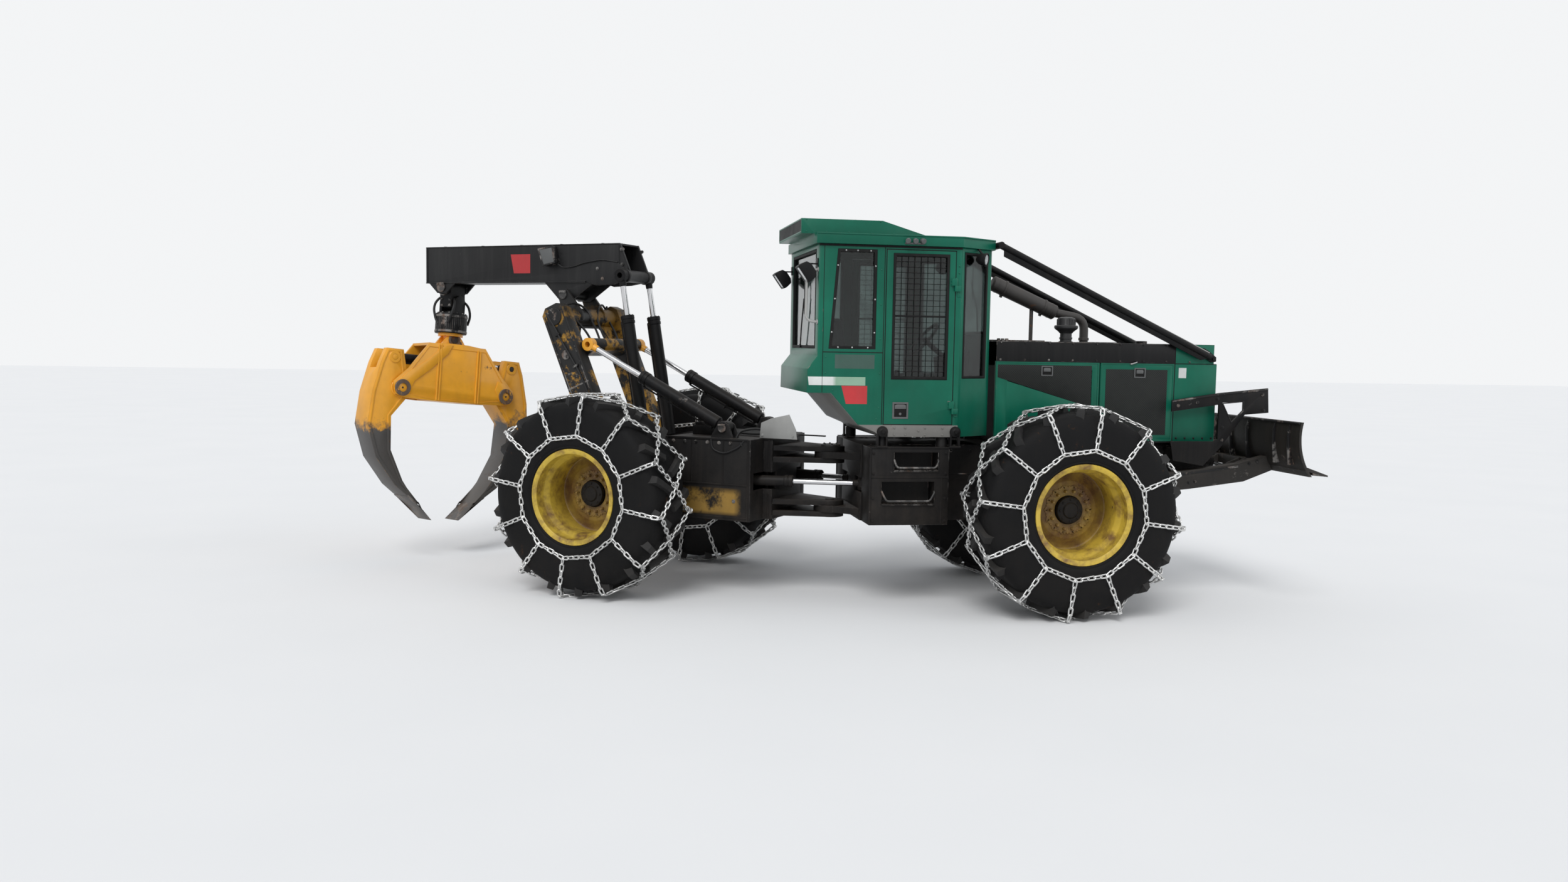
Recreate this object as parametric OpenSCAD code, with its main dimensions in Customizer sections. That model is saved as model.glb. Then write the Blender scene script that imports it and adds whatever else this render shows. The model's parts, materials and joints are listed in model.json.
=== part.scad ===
// Grapple skidder: an articulated four-wheel forestry tractor with an arch, a boom, a log grapple and tyre chains.
// +X is forward along the front frame, +Y is left and +Z is up; the origin is under the middle of the whole machine.

/* [Placement] */
// Articulation pivot ahead of the origin
pivot_x = 135; // [100:5:170]
// Articulation pivot to the left of the origin
pivot_y = -820; // [-860:5:-780]
// Angle of the rear frame at the pivot, tail to the left when negative
articulation = -34.6; // [-38:0.2:-30]
// Distance from the pivot forward to the front axle
front_axle_x = 1930; // [1900:5:1990]
// Distance from the pivot back to the rear axle
rear_axle_x = 1940; // [1900:5:1960]

/* [Wheels] */
// Tyre radius over its lugs
tyre_r = 910; // [890:5:920]
// Tyre width
tyre_w = 620; // [590:5:630]
// Height of the lugs
lug_h = 42; // [30:2:50]
// Width of a lug
lug_w = 64; // [50:2:76]
// Lugs on each side of the tread
lug_count = 18; // [14:1:20]
// Rim flange radius
flange_r = 438; // [430:2:446]
// Rim seat radius, a 32 inch rim
seat_r = 406; // [400:1:410]
// Outer face of a rim to the centreline
flange_y = 1380; // [1360:5:1400]
// Width between the rim flanges
rim_w = 580; // [560:5:590]
// Thickness of the rim metal
rim_t = 14; // [10:1:18]
// Depth of the wheel disc behind the outer flange
disc_depth = 360; // [330:5:380]
// Radius of the rim well
well_r = 366; // [350:2:380]
// Radius of the wheel studs' circle
stud_circle_r = 168; // [150:2:180]
// Studs in a wheel
stud_count = 14; // [10:1:16]
// Thickness of a tyre chain
chain_t = 20; // [14:1:24]
// Cross points of the chain net around a tyre
chain_count = 12; // [10:1:14]
// Radius of the side chain
side_chain_r = 560; // [540:5:600]

/* [Axles] */
// Radius of an axle tube
axle_r = 135; // [120:5:150]
// Radius of a hub's planetary end
hub_r = 142; // [136:2:148]
// Radius of the differential bowl
diff_r = 215; // [190:5:225]
// Width of the differential bowl
diff_w = 290; // [250:10:300]

/* [Front frame] */
// Underside of the front frame
frame_low_z = 760; // [740:5:800]
// Top of the front frame
frame_top_z = 1450; // [1430:5:1460]
// Outer face of the frame's side plates to the centreline
beam_y = 390; // [370:5:400]
// Thickness of the frame's side plates
beam_t = 30; // [20:2:40]
// Front end of the frame's side plates
beam_front_x = 3560; // [3500:10:3600]
// Outer face of the side boxes under the cab
box_y = 700; // [680:5:720]
// Front end of the side boxes
box_front_x = 930; // [900:5:950]
// Rear end of the front frame's boxes
box_rear_x = 210; // [200:5:240]
// Thickness of the side boxes' walls
box_t = 10; // [6:1:14]
// Thickness of the nose side plates
nose_t = 20; // [12:1:22]
// Outer face of the nose side plates to the centreline
nose_y = 590; // [570:5:600]

/* [Articulation] */
// Height of the upper hinge plate
hinge_top_z = 1330; // [1300:5:1345]
// Height of the lower hinge plate
hinge_low_z = 830; // [820:5:850]
// Thickness of a hinge plate
hinge_t = 60; // [50:2:70]
// Radius of the hinge pins
hinge_pin_r = 45; // [38:1:50]
// Radius of the hinge plates' round ends
hinge_r = 150; // [130:5:160]

/* [Cab] */
// Outer side of the cab to the centreline
cab_y = 700; // [680:5:720]
// Rear wall of the cab
cab_rear_x = -280; // [-300:5:-250]
// Rear edge of the corner windows
cab_corner_x = 1000; // [985:5:1010]
// Front wall of the cab
cab_front_x = 1350; // [1320:5:1380]
// Half width of the windscreen wall
cab_nose_y = 470; // [450:5:480]
// Underside of the cab
cab_low_z = 1545; // [1530:5:1560]
// Top of the cab walls
cab_top_z = 3215; // [3180:5:3230]
// Thickness of the cab walls
cab_t = 45; // [35:1:55]
// Height of the waist under the windows
waist_z = 2310; // [2290:5:2330]
// Top edge of the windows
window_top_z = 3175; // [3150:5:3180]
// Lower edge of the corner windows
corner_low_z = 2065; // [2050:5:2080]
// Rear edge of the door
door_rear_x = 315; // [305:5:325]
// Front edge of the door
door_front_x = 950; // [935:5:955]
// Lower edge of the door
door_low_z = 1650; // [1640:5:1665]
// Lower edge of the door's pane
door_pane_z = 2050; // [2030:5:2070]
// Underside of the cab behind its foot
foot_z = 1925; // [1910:5:1940]
// Foot of the slope under the rear of the cab
foot_x = 94; // [80:2:110]
// Depth of the box behind the cab
shelf_d = 90; // [70:5:100]
// Height of the box behind the cab
shelf_h = 325; // [300:5:340]
// Middle of the seat's pedestal
seat_x = 440; // [430:5:460]
// Thickness of the cab's window panes
glass_t = 8; // [6:1:10]
// Thickness of the roof
roof_t = 90; // [80:2:100]
// Overhang of the roof's gutter
gutter_w = 28; // [20:2:34]
// Height of the cooling unit on the roof
cooler_h = 135; // [120:5:145]
// Half width of the cooling unit
cooler_y = 600; // [570:5:620]

/* [Hood] */
// Side of the hood to the centreline
hood_y = 500; // [480:5:510]
// Top of the hood
hood_top_z = 2405; // [2380:5:2420]
// Lower edge of the hood's painted band
band_z = 2225; // [2210:5:2240]
// Lower edge of the hood's side panels
hood_low_z = 1500; // [1490:5:1510]
// Joint between the two side panels
panel_split_x = 2410; // [2390:5:2430]
// Front end of the side panels
hood_front_x = 3150; // [3120:5:3170]
// Front face of the radiator box
nose_x = 3565; // [3540:5:3590]
// Radius of the limb risers' bars
riser_r = 30; // [24:1:34]
// Thickness of the hood's sheet
hood_t = 6; // [4:1:10]
// Length of the engine block
engine_len = 1150; // [1050:10:1200]

/* [Blade] */
// Half width of the blade
blade_y = 1150; // [1100:10:1200]
// Height of the blade
blade_h = 490; // [460:5:520]
// Underside of the blade as it is carried
blade_low_z = 1235; // [1220:5:1250]
// Face of the blade at its foot
blade_face_x = 4200; // [4180:5:4230]
// Thickness of the blade plate
blade_t = 24; // [16:1:30]
// Pivot of the blade arms
arm_pivot_x = 2640; // [2600:5:2680]
// Height of the blade arms' pivot
arm_pivot_z = 1090; // [1070:5:1110]
// Middle of a blade arm to the centreline
arm_y = 520; // [515:1:522]
// Thickness of a blade arm
arm_t = 90; // [80:2:92]
// Radius of the mouldboard's curve
blade_r = 600; // [580:5:640]
// Radius of the arm pins
arm_pin_r = 32; // [26:1:36]

/* [Rear frame] */
// Outer face of the rear frame's side plates to the centreline
rear_y = 600; // [580:5:610]
// Thickness of the rear frame's side plates
rear_t = 28; // [20:2:34]
// Top of the rear frame
rear_top_z = 1470; // [1450:5:1480]
// Underside of the rear frame
rear_low_z = 720; // [700:5:760]
// Front end of the wide part of the rear frame
rear_wide_x = -560; // [-600:5:-540]
// Rear end of the deck
deck_rear_x = -1400; // [-1430:5:-1380]
// Rear end of the rear frame
rear_end_x = -2420; // [-2450:5:-2400]

/* [Arch] */
// Arch pivot behind the articulation pivot
arch_x = -2160; // [-2180:5:-2140]
// Height of the arch pivot
arch_z = 1260; // [1250:5:1270]
// Lean of the arch to the rear
arch_lean = 23.4; // [20:0.2:25]
// Length of a leg from its pivot to its top
leg_len = 1545; // [1520:5:1570]
// Width of a leg seen from the side
leg_w = 260; // [240:5:270]
// Thickness of a leg seen from behind
leg_t = 140; // [120:5:150]
// Middle of a leg to the centreline
leg_y = 480; // [470:5:490]
// Plate thickness of the arch
arch_t = 20; // [14:1:24]
// Radius of the top cross tube
top_tube_r = 95; // [85:5:105]
// Height of the top cross tube along the legs
top_tube_u = 1430; // [1410:5:1440]
// Height of the lower cross tube along the legs
low_tube_u = 1050; // [1030:5:1070]
// Lower cross tube ahead of the legs' middle
low_tube_v = 210; // [205:5:215]
// Radius of the lower cross tube
low_tube_r = 62; // [55:1:66]

/* [Boom] */
// Boom pivot behind the articulation pivot
boom_x = -2860; // [-2880:5:-2840]
// Height of the boom pivot
boom_z = 2800; // [2790:5:2810]
// Half width of the boom
boom_y = 170; // [160:5:175]
// Plate thickness of the boom
boom_t = 16; // [12:1:20]
// Underside of the boom
boom_low_z = 2925; // [2915:5:2935]
// Top of the boom
boom_top_z = 3305; // [3280:5:3320]
// Rear end of the boom
boom_rear_x = -4660; // [-4700:10:-4640]
// Front end of the boom
boom_front_x = -2100; // [-2120:5:-2090]
// Pin that carries the grapple
hang_x = -4450; // [-4470:5:-4430]
// Height of the pin that carries the grapple
hang_z = 2885; // [2875:5:2890]

/* [Cylinders] */
// Radius of the arch and boom cylinder barrels
barrel_r = 60; // [54:1:64]
// Radius of the arch and boom cylinder rods
rod_r = 28; // [24:1:32]
// Radius of the cylinders' eyes
eye_r = 64; // [58:1:68]
// Radius of the cylinders' pins
pin_r = 28; // [24:1:30]
// Middle of an arch cylinder to the centreline
arch_cyl_y = 448; // [440:2:456]
// Middle of a boom cylinder to the centreline
boom_cyl_y = 245; // [240:1:250]
// Middle of a blade cylinder to the centreline
blade_cyl_y = 250; // [230:5:260]
// Middle of a steering cylinder's base to the centreline
steer_base_y = 430; // [415:5:440]
// Middle of a steering cylinder's eye to the centreline
steer_eye_y = 230; // [224:2:236]
// Thickness of the lugs beside the cylinders' eyes
lug_t = 24; // [18:1:28]
// Width of a barrel's eye
barrel_w = 90; // [80:2:94]
// Width of a rod's eye
rod_w = 76; // [66:2:80]

/* [Grapple] */
// Turn of the grapple about its rotator, from the machine's length
grapple_turn = 68; // [60:1:75]
// Tilt of the grapple to the right side
grapple_tilt = -6; // [-8:0.5:-3]
// Distance from the grapple's middle to a tong pivot
tong_x = 600; // [580:5:615]
// Depth of a tong
tong_w = 300; // [260:5:320]
// Radius of a tong pivot pin
tong_pin_r = 42; // [36:1:46]
// Depth of the grapple head
head_w = 380; // [370:5:400]
// Plate thickness of the grapple
grapple_t = 22; // [16:1:26]

// Radius of the grapple ram's barrel
ram_r = 55; // [50:1:58]
// Radius of the grapple ram's rod
ram_rod_r = 34; // [30:1:36]
// Radius of the grapple ram's pin
ram_pin_r = 28; // [24:1:30]
// Half the slot in a tong's head
ram_slot = 72; // [70:1:80]

/* [Clearances] */
// Radial play of a pin in its bore
fit = 0.08; // [0.05:0.01:0.1]
// Play between faces that seat on each other
seat = 0.3; // [0.2:0.05:0.5]
// Space between pieces that pass each other
pass = 8; // [6:1:12]

/* [Hidden] */
$fn = 48;

// The chain net's links lie on the lugs, one every chain_step degrees, each slanting from the middle to an edge
chain_step = 180/chain_count;
chain_edge = tyre_w/2 - 70;
link_mid_r = tyre_r + seat + chain_t/2;
link_x = link_mid_r*tan(chain_step/2);
link_slant = atan2(chain_edge/2, link_x);
link_half = norm([link_x, chain_edge/2]) + chain_t/2;
// The wheel stands on the corners of the links beside the lowest one
axle_z = (link_mid_r + chain_t/2)*cos(chain_step)
    + (link_half*cos(link_slant) + chain_t/2*sin(link_slant))*sin(chain_step);
wheel_y = flange_y - rim_w/2;
disc_w = rim_w/2 - disc_depth;
disc_t = 22;
spindle_r = 60;
bead_r = seat_r + seat;

// Points of the linkages, as [forward, up] in the frame that carries them
blade_base = [2950, 1470];
blade_eye = [blade_face_x - 295, blade_low_z - 20];
arch_base = [-870, 1560];
boom_base = [-1860, 1325];
boom_eye = [-2150, 2985];
// A steering cylinder from its base on the rear frame to its eye on the front frame, as [forward, left]
steer_base = [-860, steer_base_y];
steer_eye = [260, steer_eye_y];
steer_z = 1080;
steer_w = 70;
// Front edge of the deck, behind the blade cylinders
deck_front_x = blade_base[0] - 80;
// Front wall of the rear frame's neck
neck_x = rear_wide_x + 80;
arch_pin_r = 50;
roll_pin_r = 36;
boom_pin_r = 48;

// Helpers
// Draws for the front frame, whose own origin is the articulation pivot on the ground
module front() {
    translate([pivot_x, pivot_y, 0]) children();
}
// Draws for the rear frame
module rear() {
    front() rotate([0, 0, articulation]) children();
}
// Draws the same piece on the right and on the left
module both_sides() {
    children();
    mirror([0, 1, 0]) children();
}
// An outline of [forward, up] points made into a plate whose middle lies at y
module plate(y, thick) {
    translate([0, y + thick/2, 0]) rotate([90, 0, 0]) linear_extrude(thick) children();
}
// A round bar across the machine from y0 to y1
module cross_bar(r, y0, y1) {
    translate([0, y1, 0]) rotate([90, 0, 0]) cylinder(r = r, h = y1 - y0);
}
// Turns the X axis along the line from p to q, given as [forward, up]
module aim(p, q) {
    translate([p[0], 0, p[1]]) rotate([0, -atan2(q[1] - p[1], q[0] - p[0]), 0]) children();
}
// A block between two corners
module block(low, high) {
    translate(low) cube(high - low);
}
// Distance between two points
function gap(p, q) = norm(q - p);

// A cylinder barrel along +X from its base eye, with the bore that its rod runs in
module barrel(len, bore, r = barrel_r, rod = rod_r, eye = eye_r, pin = pin_r, w = barrel_w) {
    difference() {
        union() {
            cross_bar(eye, -w/2, w/2);
            rotate([0, 90, 0]) {
                cylinder(r = w/2 - 5, h = eye + 30);
                translate([0, 0, eye + 15]) cylinder(r = r, h = len - eye - 20);
                translate([0, 0, len - 75]) cylinder(r = r + 7, h = 75);
            }
        }
        cross_bar(pin + fit, -w, w);
        rotate([0, 90, 0]) translate([0, 0, len - bore]) cylinder(r = rod + fit, h = bore + 1);
    }
}
// A cylinder rod along +X that starts inside its barrel and ends in an eye at reach
module rod(start, reach, rod = rod_r, eye = eye_r, w = rod_w) {
    rotate([0, 90, 0]) translate([0, 0, start]) cylinder(r = rod, h = reach - start);
    translate([reach, 0, 0]) cross_bar(eye, -w/2, w/2);
    translate([reach - eye - 40, 0, 0]) rotate([0, 90, 0]) cylinder(r1 = rod + 2, r2 = min(eye*0.7, w/2), h = 50);
}
// Middle of a lug from the middle of the eye of width w that it stands beside
function lug_off(w) = w/2 + seat + lug_t/2;
// Two lugs with an outline of [forward, up] points, one each side of an eye of width w at y
module lugs(y, w) {
    for (s = [-1, 1]) plate(y + s*lug_off(w), lug_t) children();
}
// A pin through two lugs and the eye between them
module lug_pin(p, y, w, r = pin_r) {
    translate([p[0], 0, p[1]]) cross_bar(r, y - w/2 - lug_t - 10, y + w/2 + lug_t + 10);
}

// Front frame
module front_frame() color([0.07, 0.07, 0.07]) front() {
    difference() {
        union() {
            both_sides() {
                // Side plate, arched over the axle
                plate(beam_y - beam_t/2, beam_t) polygon([
                    [box_rear_x - 10, frame_low_z], [box_front_x + 250, frame_low_z], [front_axle_x - 330, 900],
                    [front_axle_x - 200, axle_z + axle_r + 60], [front_axle_x + 200, axle_z + axle_r + 60],
                    [front_axle_x + 330, 900], [arm_pivot_x + 200, 900], [beam_front_x, 1250],
                    [beam_front_x, frame_top_z], [box_rear_x - 10, frame_top_z]]);
                // Saddle on the front axle
                block([front_axle_x - 170, beam_y - 190, axle_z + axle_r - 40],
                      [front_axle_x + 170, beam_y - beam_t + 1, axle_z + axle_r + 120]);
                // Sill under the hood's panels
                block([cab_front_x + 60, beam_y - beam_t, frame_top_z - 1],
                      [beam_front_x, beam_y, hood_low_z - seat]);
                block([cab_front_x + 60, beam_y - 1, hood_low_z - seat - 12],
                      [beam_front_x, hood_y, hood_low_z - seat]);
                nose_plate();
                block([hood_front_x - 30, beam_y - 1, frame_top_z - 110],
                      [nose_x - 85, nose_y - nose_t + 1, frame_top_z - 10]);
            }
            // Walls, floor and deck between the side plates
            block([box_rear_x - 10, -beam_y + 1, frame_low_z], [box_rear_x + 20, beam_y - 1, frame_top_z]);
            block([box_rear_x, -beam_y + 1, frame_low_z], [box_front_x + 240, beam_y - 1, frame_low_z + 20]);
            block([box_rear_x, -beam_y + 1, frame_top_z - 20], [deck_front_x, beam_y - 1, frame_top_z]);
            for (x = [front_axle_x - 320, front_axle_x + 300])
                block([x, -beam_y + 1, 910], [x + 20, beam_y - 1, frame_top_z - 10]);
            // Lugs of the blade cylinders' bases
            for (y = [-1, 1]*blade_cyl_y) lugs(y, barrel_w) polygon([
                [deck_front_x - 140, frame_top_z - 10], [deck_front_x, frame_top_z - 40],
                [blade_base[0], blade_base[1] - 55], [blade_base[0] + 55, blade_base[1]],
                [blade_base[0], blade_base[1] + 50], [deck_front_x - 140, frame_top_z + 30]]);
            for (z = [hinge_top_z, hinge_low_z]) hinge_plate(z);
        }
        for (z = [hinge_top_z, hinge_low_z])
            translate([0, 0, z - hinge_t]) cylinder(r = hinge_pin_r + fit, h = 2*hinge_t);
        translate([front_axle_x, 0, axle_z]) cross_bar(axle_r + seat, -beam_y, beam_y);
        // Openings for the steering cylinders' rods
        both_sides() {
            block([box_rear_x - 80, 120, steer_z - 70], [steer_eye[0] + 10, beam_y - beam_t - 1, steer_z + 70]);
            block([box_rear_x - 80, 120, steer_z - 70], [box_rear_x + 30, beam_y, steer_z + 70]);
        }
    }
    for (y = [-1, 1]*blade_cyl_y) lug_pin(blade_base, y, barrel_w);
    both_sides() {
        // Pins of the blade arms
        translate([arm_pivot_x, 0, arm_pivot_z]) {
            cross_bar(90, beam_y - beam_t, arm_y - arm_t/2 - seat);
            cross_bar(arm_pin_r, beam_y, arm_y + arm_t/2 + 20);
            cross_bar(60, arm_y + arm_t/2 + seat, arm_y + arm_t/2 + 18);
        }
        // Lugs of the steering cylinders' eyes
        for (s = [-1, 1]) translate([0, 0, steer_z + s*lug_off(steer_w) - lug_t/2]) linear_extrude(lug_t) polygon([
            [steer_eye[0] + 12, beam_y - 1], [steer_eye[0] + 110, beam_y - 1], [steer_eye[0] + 70, steer_eye[1] - 40],
            [steer_eye[0], steer_eye[1] - 55], [steer_eye[0] - 45, steer_eye[1] - 20],
            [steer_eye[0] - 40, steer_eye[1] + 30]]);
    }
}
module hinge_plate(z) {
    translate([0, 0, z - hinge_t/2]) linear_extrude(hinge_t) {
        circle(r = hinge_r);
        polygon([[0, -hinge_r], [box_rear_x, -beam_y + 40], [box_rear_x, beam_y - 40], [0, hinge_r]]);
    }
}
// Box beside the frame, with two step recesses and the cab's rubber mounts; the columns are low z, high z,
// rear x and front x of a recess
STEPS = [[950, 1150, 320, 800], [1250, 1410, 430, 830]];
step_depth = 190;
module side_box(side) front() mirror([0, side < 0 ? 1 : 0, 0]) {
    y = beam_y + seat;
    difference() {
        block([box_rear_x, y, frame_low_z], [box_front_x, box_y, frame_top_z]);
        block([box_rear_x + box_t, y + box_t, frame_low_z + box_t],
              [box_front_x - box_t, box_y - step_depth - 20, frame_top_z - box_t]);
        for (s = STEPS) block([s[2], box_y - step_depth, s[0]], [s[3], box_y + 1, s[1]]);
    }
    for (s = STEPS) block([s[2], box_y - step_depth, s[0] - 12], [s[3], box_y + 20, s[0]]);
    for (x = [box_rear_x + 120, box_front_x - 55]) translate([x, box_y - 70, frame_top_z - 1])
        cylinder(r = 50, h = cab_low_z - frame_top_z + 1 - seat);
}
module side_box_right() color([0.07, 0.07, 0.07]) side_box(-1);
module side_box_left() color([0.07, 0.07, 0.07]) side_box(1);
module nose_plate() {
    difference() {
        plate(nose_y - nose_t/2, nose_t) polygon([
            [hood_front_x - 60, hood_low_z + 390], [nose_x - 5, hood_low_z + 460], [nose_x + 480, hood_low_z + 510],
            [nose_x + 495, hood_low_z + 280], [nose_x + 255, hood_low_z + 260], [nose_x + 35, hood_low_z - 35],
            [hood_front_x + 270, frame_low_z + 520], [hood_front_x - 30, frame_top_z - 120],
            [hood_front_x - 60, hood_low_z]]);
        plate(nose_y - nose_t/2, nose_t + 2) polygon([[nose_x + 25, hood_low_z + 370],
            [nose_x + 235, hood_low_z + 380], [nose_x + 235, hood_low_z + 300], [nose_x + 125, hood_low_z + 190]]);
    }
}

// Front axle with its differential and the planetary ends that carry the wheels
module axle_beam() {
    cross_bar(axle_r, -wheel_y + 240, wheel_y - 240);
    both_sides() {
        cross_bar(hub_r, wheel_y - 300, wheel_y + disc_w - disc_t - pass);
        cross_bar(spindle_r, wheel_y + disc_w - disc_t - pass - 1, wheel_y + disc_w + 60);
    }
    cross_bar(diff_r, -diff_w/2, diff_w/2);
}
module front_axle() color([0.1, 0.1, 0.1]) front() translate([front_axle_x, 0, axle_z]) axle_beam();
module rear_axle() color([0.1, 0.1, 0.1]) rear() translate([-rear_axle_x, 0, axle_z]) axle_beam();

// A wheel rim, its outer side toward -Y
module rim() rotate([90, 0, 0]) {
    h = rim_w/2;
    difference() {
        union() {
            rotate_extrude() polygon([
                [flange_r, h], [flange_r, h - rim_t], [seat_r, h - rim_t - 8], [seat_r, h - 110], [well_r, h - 160],
                [well_r, 160 - h], [seat_r, 110 - h], [seat_r, rim_t + 8 - h], [flange_r, rim_t - h], [flange_r, -h],
                [seat_r - rim_t, -h + 8], [seat_r - rim_t, 116 - h], [well_r - rim_t, 166 - h],
                [well_r - rim_t, h - 166], [seat_r - rim_t, h - 116], [seat_r - rim_t, h - 8]]);
            rotate_extrude() polygon([
                [128, disc_w], [250, disc_w], [well_r - rim_t + 1, disc_w - 40],
                [well_r - rim_t + 1, disc_w - disc_t - 40],
                [250, disc_w - disc_t], [128, disc_w - disc_t]]);
            translate([0, 0, disc_w - disc_t]) cylinder(r = 130, h = disc_t + 50);
        }
        translate([0, 0, disc_w - 60]) cylinder(r = spindle_r + fit, h = 200);
    }
    for (i = [0:stud_count - 1])
        rotate(i*360/stud_count) translate([stud_circle_r, 0, disc_w - 1]) cylinder(r = 15, h = 32);
}

// A tyre with two rows of slanting lugs
casing_r = tyre_r - lug_h;
module tyre() rotate([90, 0, 0]) {
    h = tyre_w/2;
    bead = rim_w/2 - rim_t - 8 - seat;
    difference() {
        union() {
            rotate_extrude($fn = 144) polygon([
                [bead_r, bead], [flange_r + 6, bead + 8], [flange_r + 10, rim_w/2 + 2], [flange_r + 60, h - 6],
                [flange_r + 150, h],
                [casing_r - 170, h - 2], [casing_r - 70, h - 16], [casing_r - 20, h - 42], [casing_r, h - 110],
                [casing_r, 110 - h], [casing_r - 20, 42 - h], [casing_r - 70, 16 - h], [casing_r - 170, 2 - h],
                [flange_r + 150, -h], [flange_r + 60, 6 - h], [flange_r + 10, -rim_w/2 - 2],
                [flange_r + 6, -bead - 8],
                [bead_r, -bead]]);
            for (side = [-1, 1]) for (i = [0:lug_count - 1])
                rotate((i + side/4)*360/lug_count) lug(side);
        }
        difference() {
            translate([0, 0, -h]) cylinder(r = tyre_r + 100, h = 2*h, $fn = 144);
            translate([0, 0, -h - 1]) cylinder(r = tyre_r, h = 2*h + 2, $fn = 144);
        }
    }
}
module lug(side) {
    len = tyre_w/2 - 10;
    translate([casing_r - 40, 0, side*4]) rotate([side*-28, 0, 0]) translate([0, -lug_w/2, side > 0 ? 0 : -len])
        cube([lug_h + 60, lug_w, len]);
}

// A tyre chain: a net of straight links over the tread, side chains and the links that join them
module chain() rotate([90, 0, 0]) {
    side_w = tyre_w/2 + chain_t/2 + seat;
    node_r = link_mid_r/cos(chain_step/2);
    for (i = [0:2*chain_count - 1]) for (s = [-1, 1])
        rotate(i*chain_step) translate([link_mid_r, 0, s*chain_edge/2])
            rotate([(i % 2 == 0 ? -s : s)*link_slant, 0, 0])
                cube([s < 0 ? chain_t : chain_t - 1, 2*link_half, chain_t], center = true);
    for (i = [0:chain_count - 1]) for (s = [-1, 1]) rotate((2*i - 0.5)*chain_step) {
        // Over the shoulder, and down to the side chain
        translate([node_r, 0, s*(chain_edge + side_w)/2])
            cube([chain_t, chain_t, side_w - chain_edge + chain_t], center = true);
        translate([(side_chain_r + node_r)/2, 0, s*side_w])
            cube([node_r - side_chain_r, chain_t - 3, chain_t - 3], center = true);
    }
    for (s = [-1, 1]) translate([0, 0, s*side_w - chain_t/2]) rotate_extrude()
        translate([side_chain_r - chain_t/2, 0]) square(chain_t);
}

// Puts a wheel's piece at its place; side is -1 on the right and 1 on the left
module at_front_wheel(side) {
    front() translate([front_axle_x, side*wheel_y, axle_z]) mirror([0, side > 0 ? 1 : 0, 0]) children();
}
module at_rear_wheel(side) {
    rear() translate([-rear_axle_x, side*wheel_y, axle_z]) mirror([0, side > 0 ? 1 : 0, 0]) children();
}
module rim_front_right() color([0.72, 0.6, 0.25]) at_front_wheel(-1) rim();
module rim_front_left() color([0.72, 0.6, 0.25]) at_front_wheel(1) rim();
module rim_rear_right() color([0.72, 0.6, 0.25]) at_rear_wheel(-1) rim();
module rim_rear_left() color([0.72, 0.6, 0.25]) at_rear_wheel(1) rim();
module tyre_front_right() color([0.09, 0.09, 0.09]) at_front_wheel(-1) tyre();
module tyre_front_left() color([0.09, 0.09, 0.09]) at_front_wheel(1) tyre();
module tyre_rear_right() color([0.09, 0.09, 0.09]) at_rear_wheel(-1) tyre();
module tyre_rear_left() color([0.09, 0.09, 0.09]) at_rear_wheel(1) tyre();
module chain_front_right() color([0.6, 0.6, 0.6]) at_front_wheel(-1) chain();
module chain_front_left() color([0.6, 0.6, 0.6]) at_front_wheel(1) chain();
module chain_rear_right() color([0.6, 0.6, 0.6]) at_rear_wheel(-1) chain();
module chain_rear_left() color([0.6, 0.6, 0.6]) at_rear_wheel(1) chain();

// Engine, one plain block on the frame under the hood
engine_x = cab_front_x + 210;
module engine() color([0.25, 0.25, 0.25]) front()
    block([engine_x, -330, frame_top_z + seat], [engine_x + engine_len, 330, band_z - 45]);

// Hood: top with its painted side bands, open below
module hood() color([0.05, 0.18, 0.13]) front() {
    difference() {
        block([cab_front_x + 60, -hood_y, band_z], [nose_x - 30, hood_y, hood_top_z]);
        block([cab_front_x + 30, -hood_y + hood_t, band_z - 1],
              [nose_x - 30 - hood_t, hood_y - hood_t, hood_top_z - hood_t]);
    }
}
module hood_panels() color([0.08, 0.2, 0.15]) front() both_sides() {
    for (p = [[cab_front_x + 60, panel_split_x - 6], [panel_split_x + 6, hood_front_x - 6]]) difference() {
        block([p[0], hood_y - 30, hood_low_z], [p[1], hood_y, band_z - seat]);
        block([p[0] + hood_t, hood_y - 31, hood_low_z + hood_t],
              [p[1] - hood_t, hood_y - hood_t, band_z - seat - hood_t]);
        block([p[0] + 110, hood_y - 40, hood_low_z + 130], [p[1] - 70, hood_y + 1, band_z - 70]);
    }
    // Mesh bars of the panels' openings
    for (p = [[cab_front_x + 170, panel_split_x - 76], [panel_split_x + 116, hood_front_x - 76]])
        for (z = [hood_low_z + 170:55:band_z - 90])
            block([p[0] - 10, hood_y - 18, z], [p[1] + 10, hood_y - hood_t + 1, z + 12]);
}
module radiator_box() color([0.05, 0.18, 0.13]) front() {
    difference() {
        block([hood_front_x, -hood_y, hood_low_z], [nose_x, hood_y, band_z - seat]);
        block([hood_front_x - 1, -hood_y + hood_t, hood_low_z + hood_t],
              [nose_x - hood_t, hood_y - hood_t, band_z]);
        block([nose_x - 20, -hood_y + 60, hood_low_z + 80], [nose_x + 1, hood_y - 60, band_z - 60]);
    }
    for (z = [hood_low_z + 110:70:band_z - 90])
        block([nose_x - 16, -hood_y + 50, z], [nose_x - 4, hood_y - 50, z + 12]);
}

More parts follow.
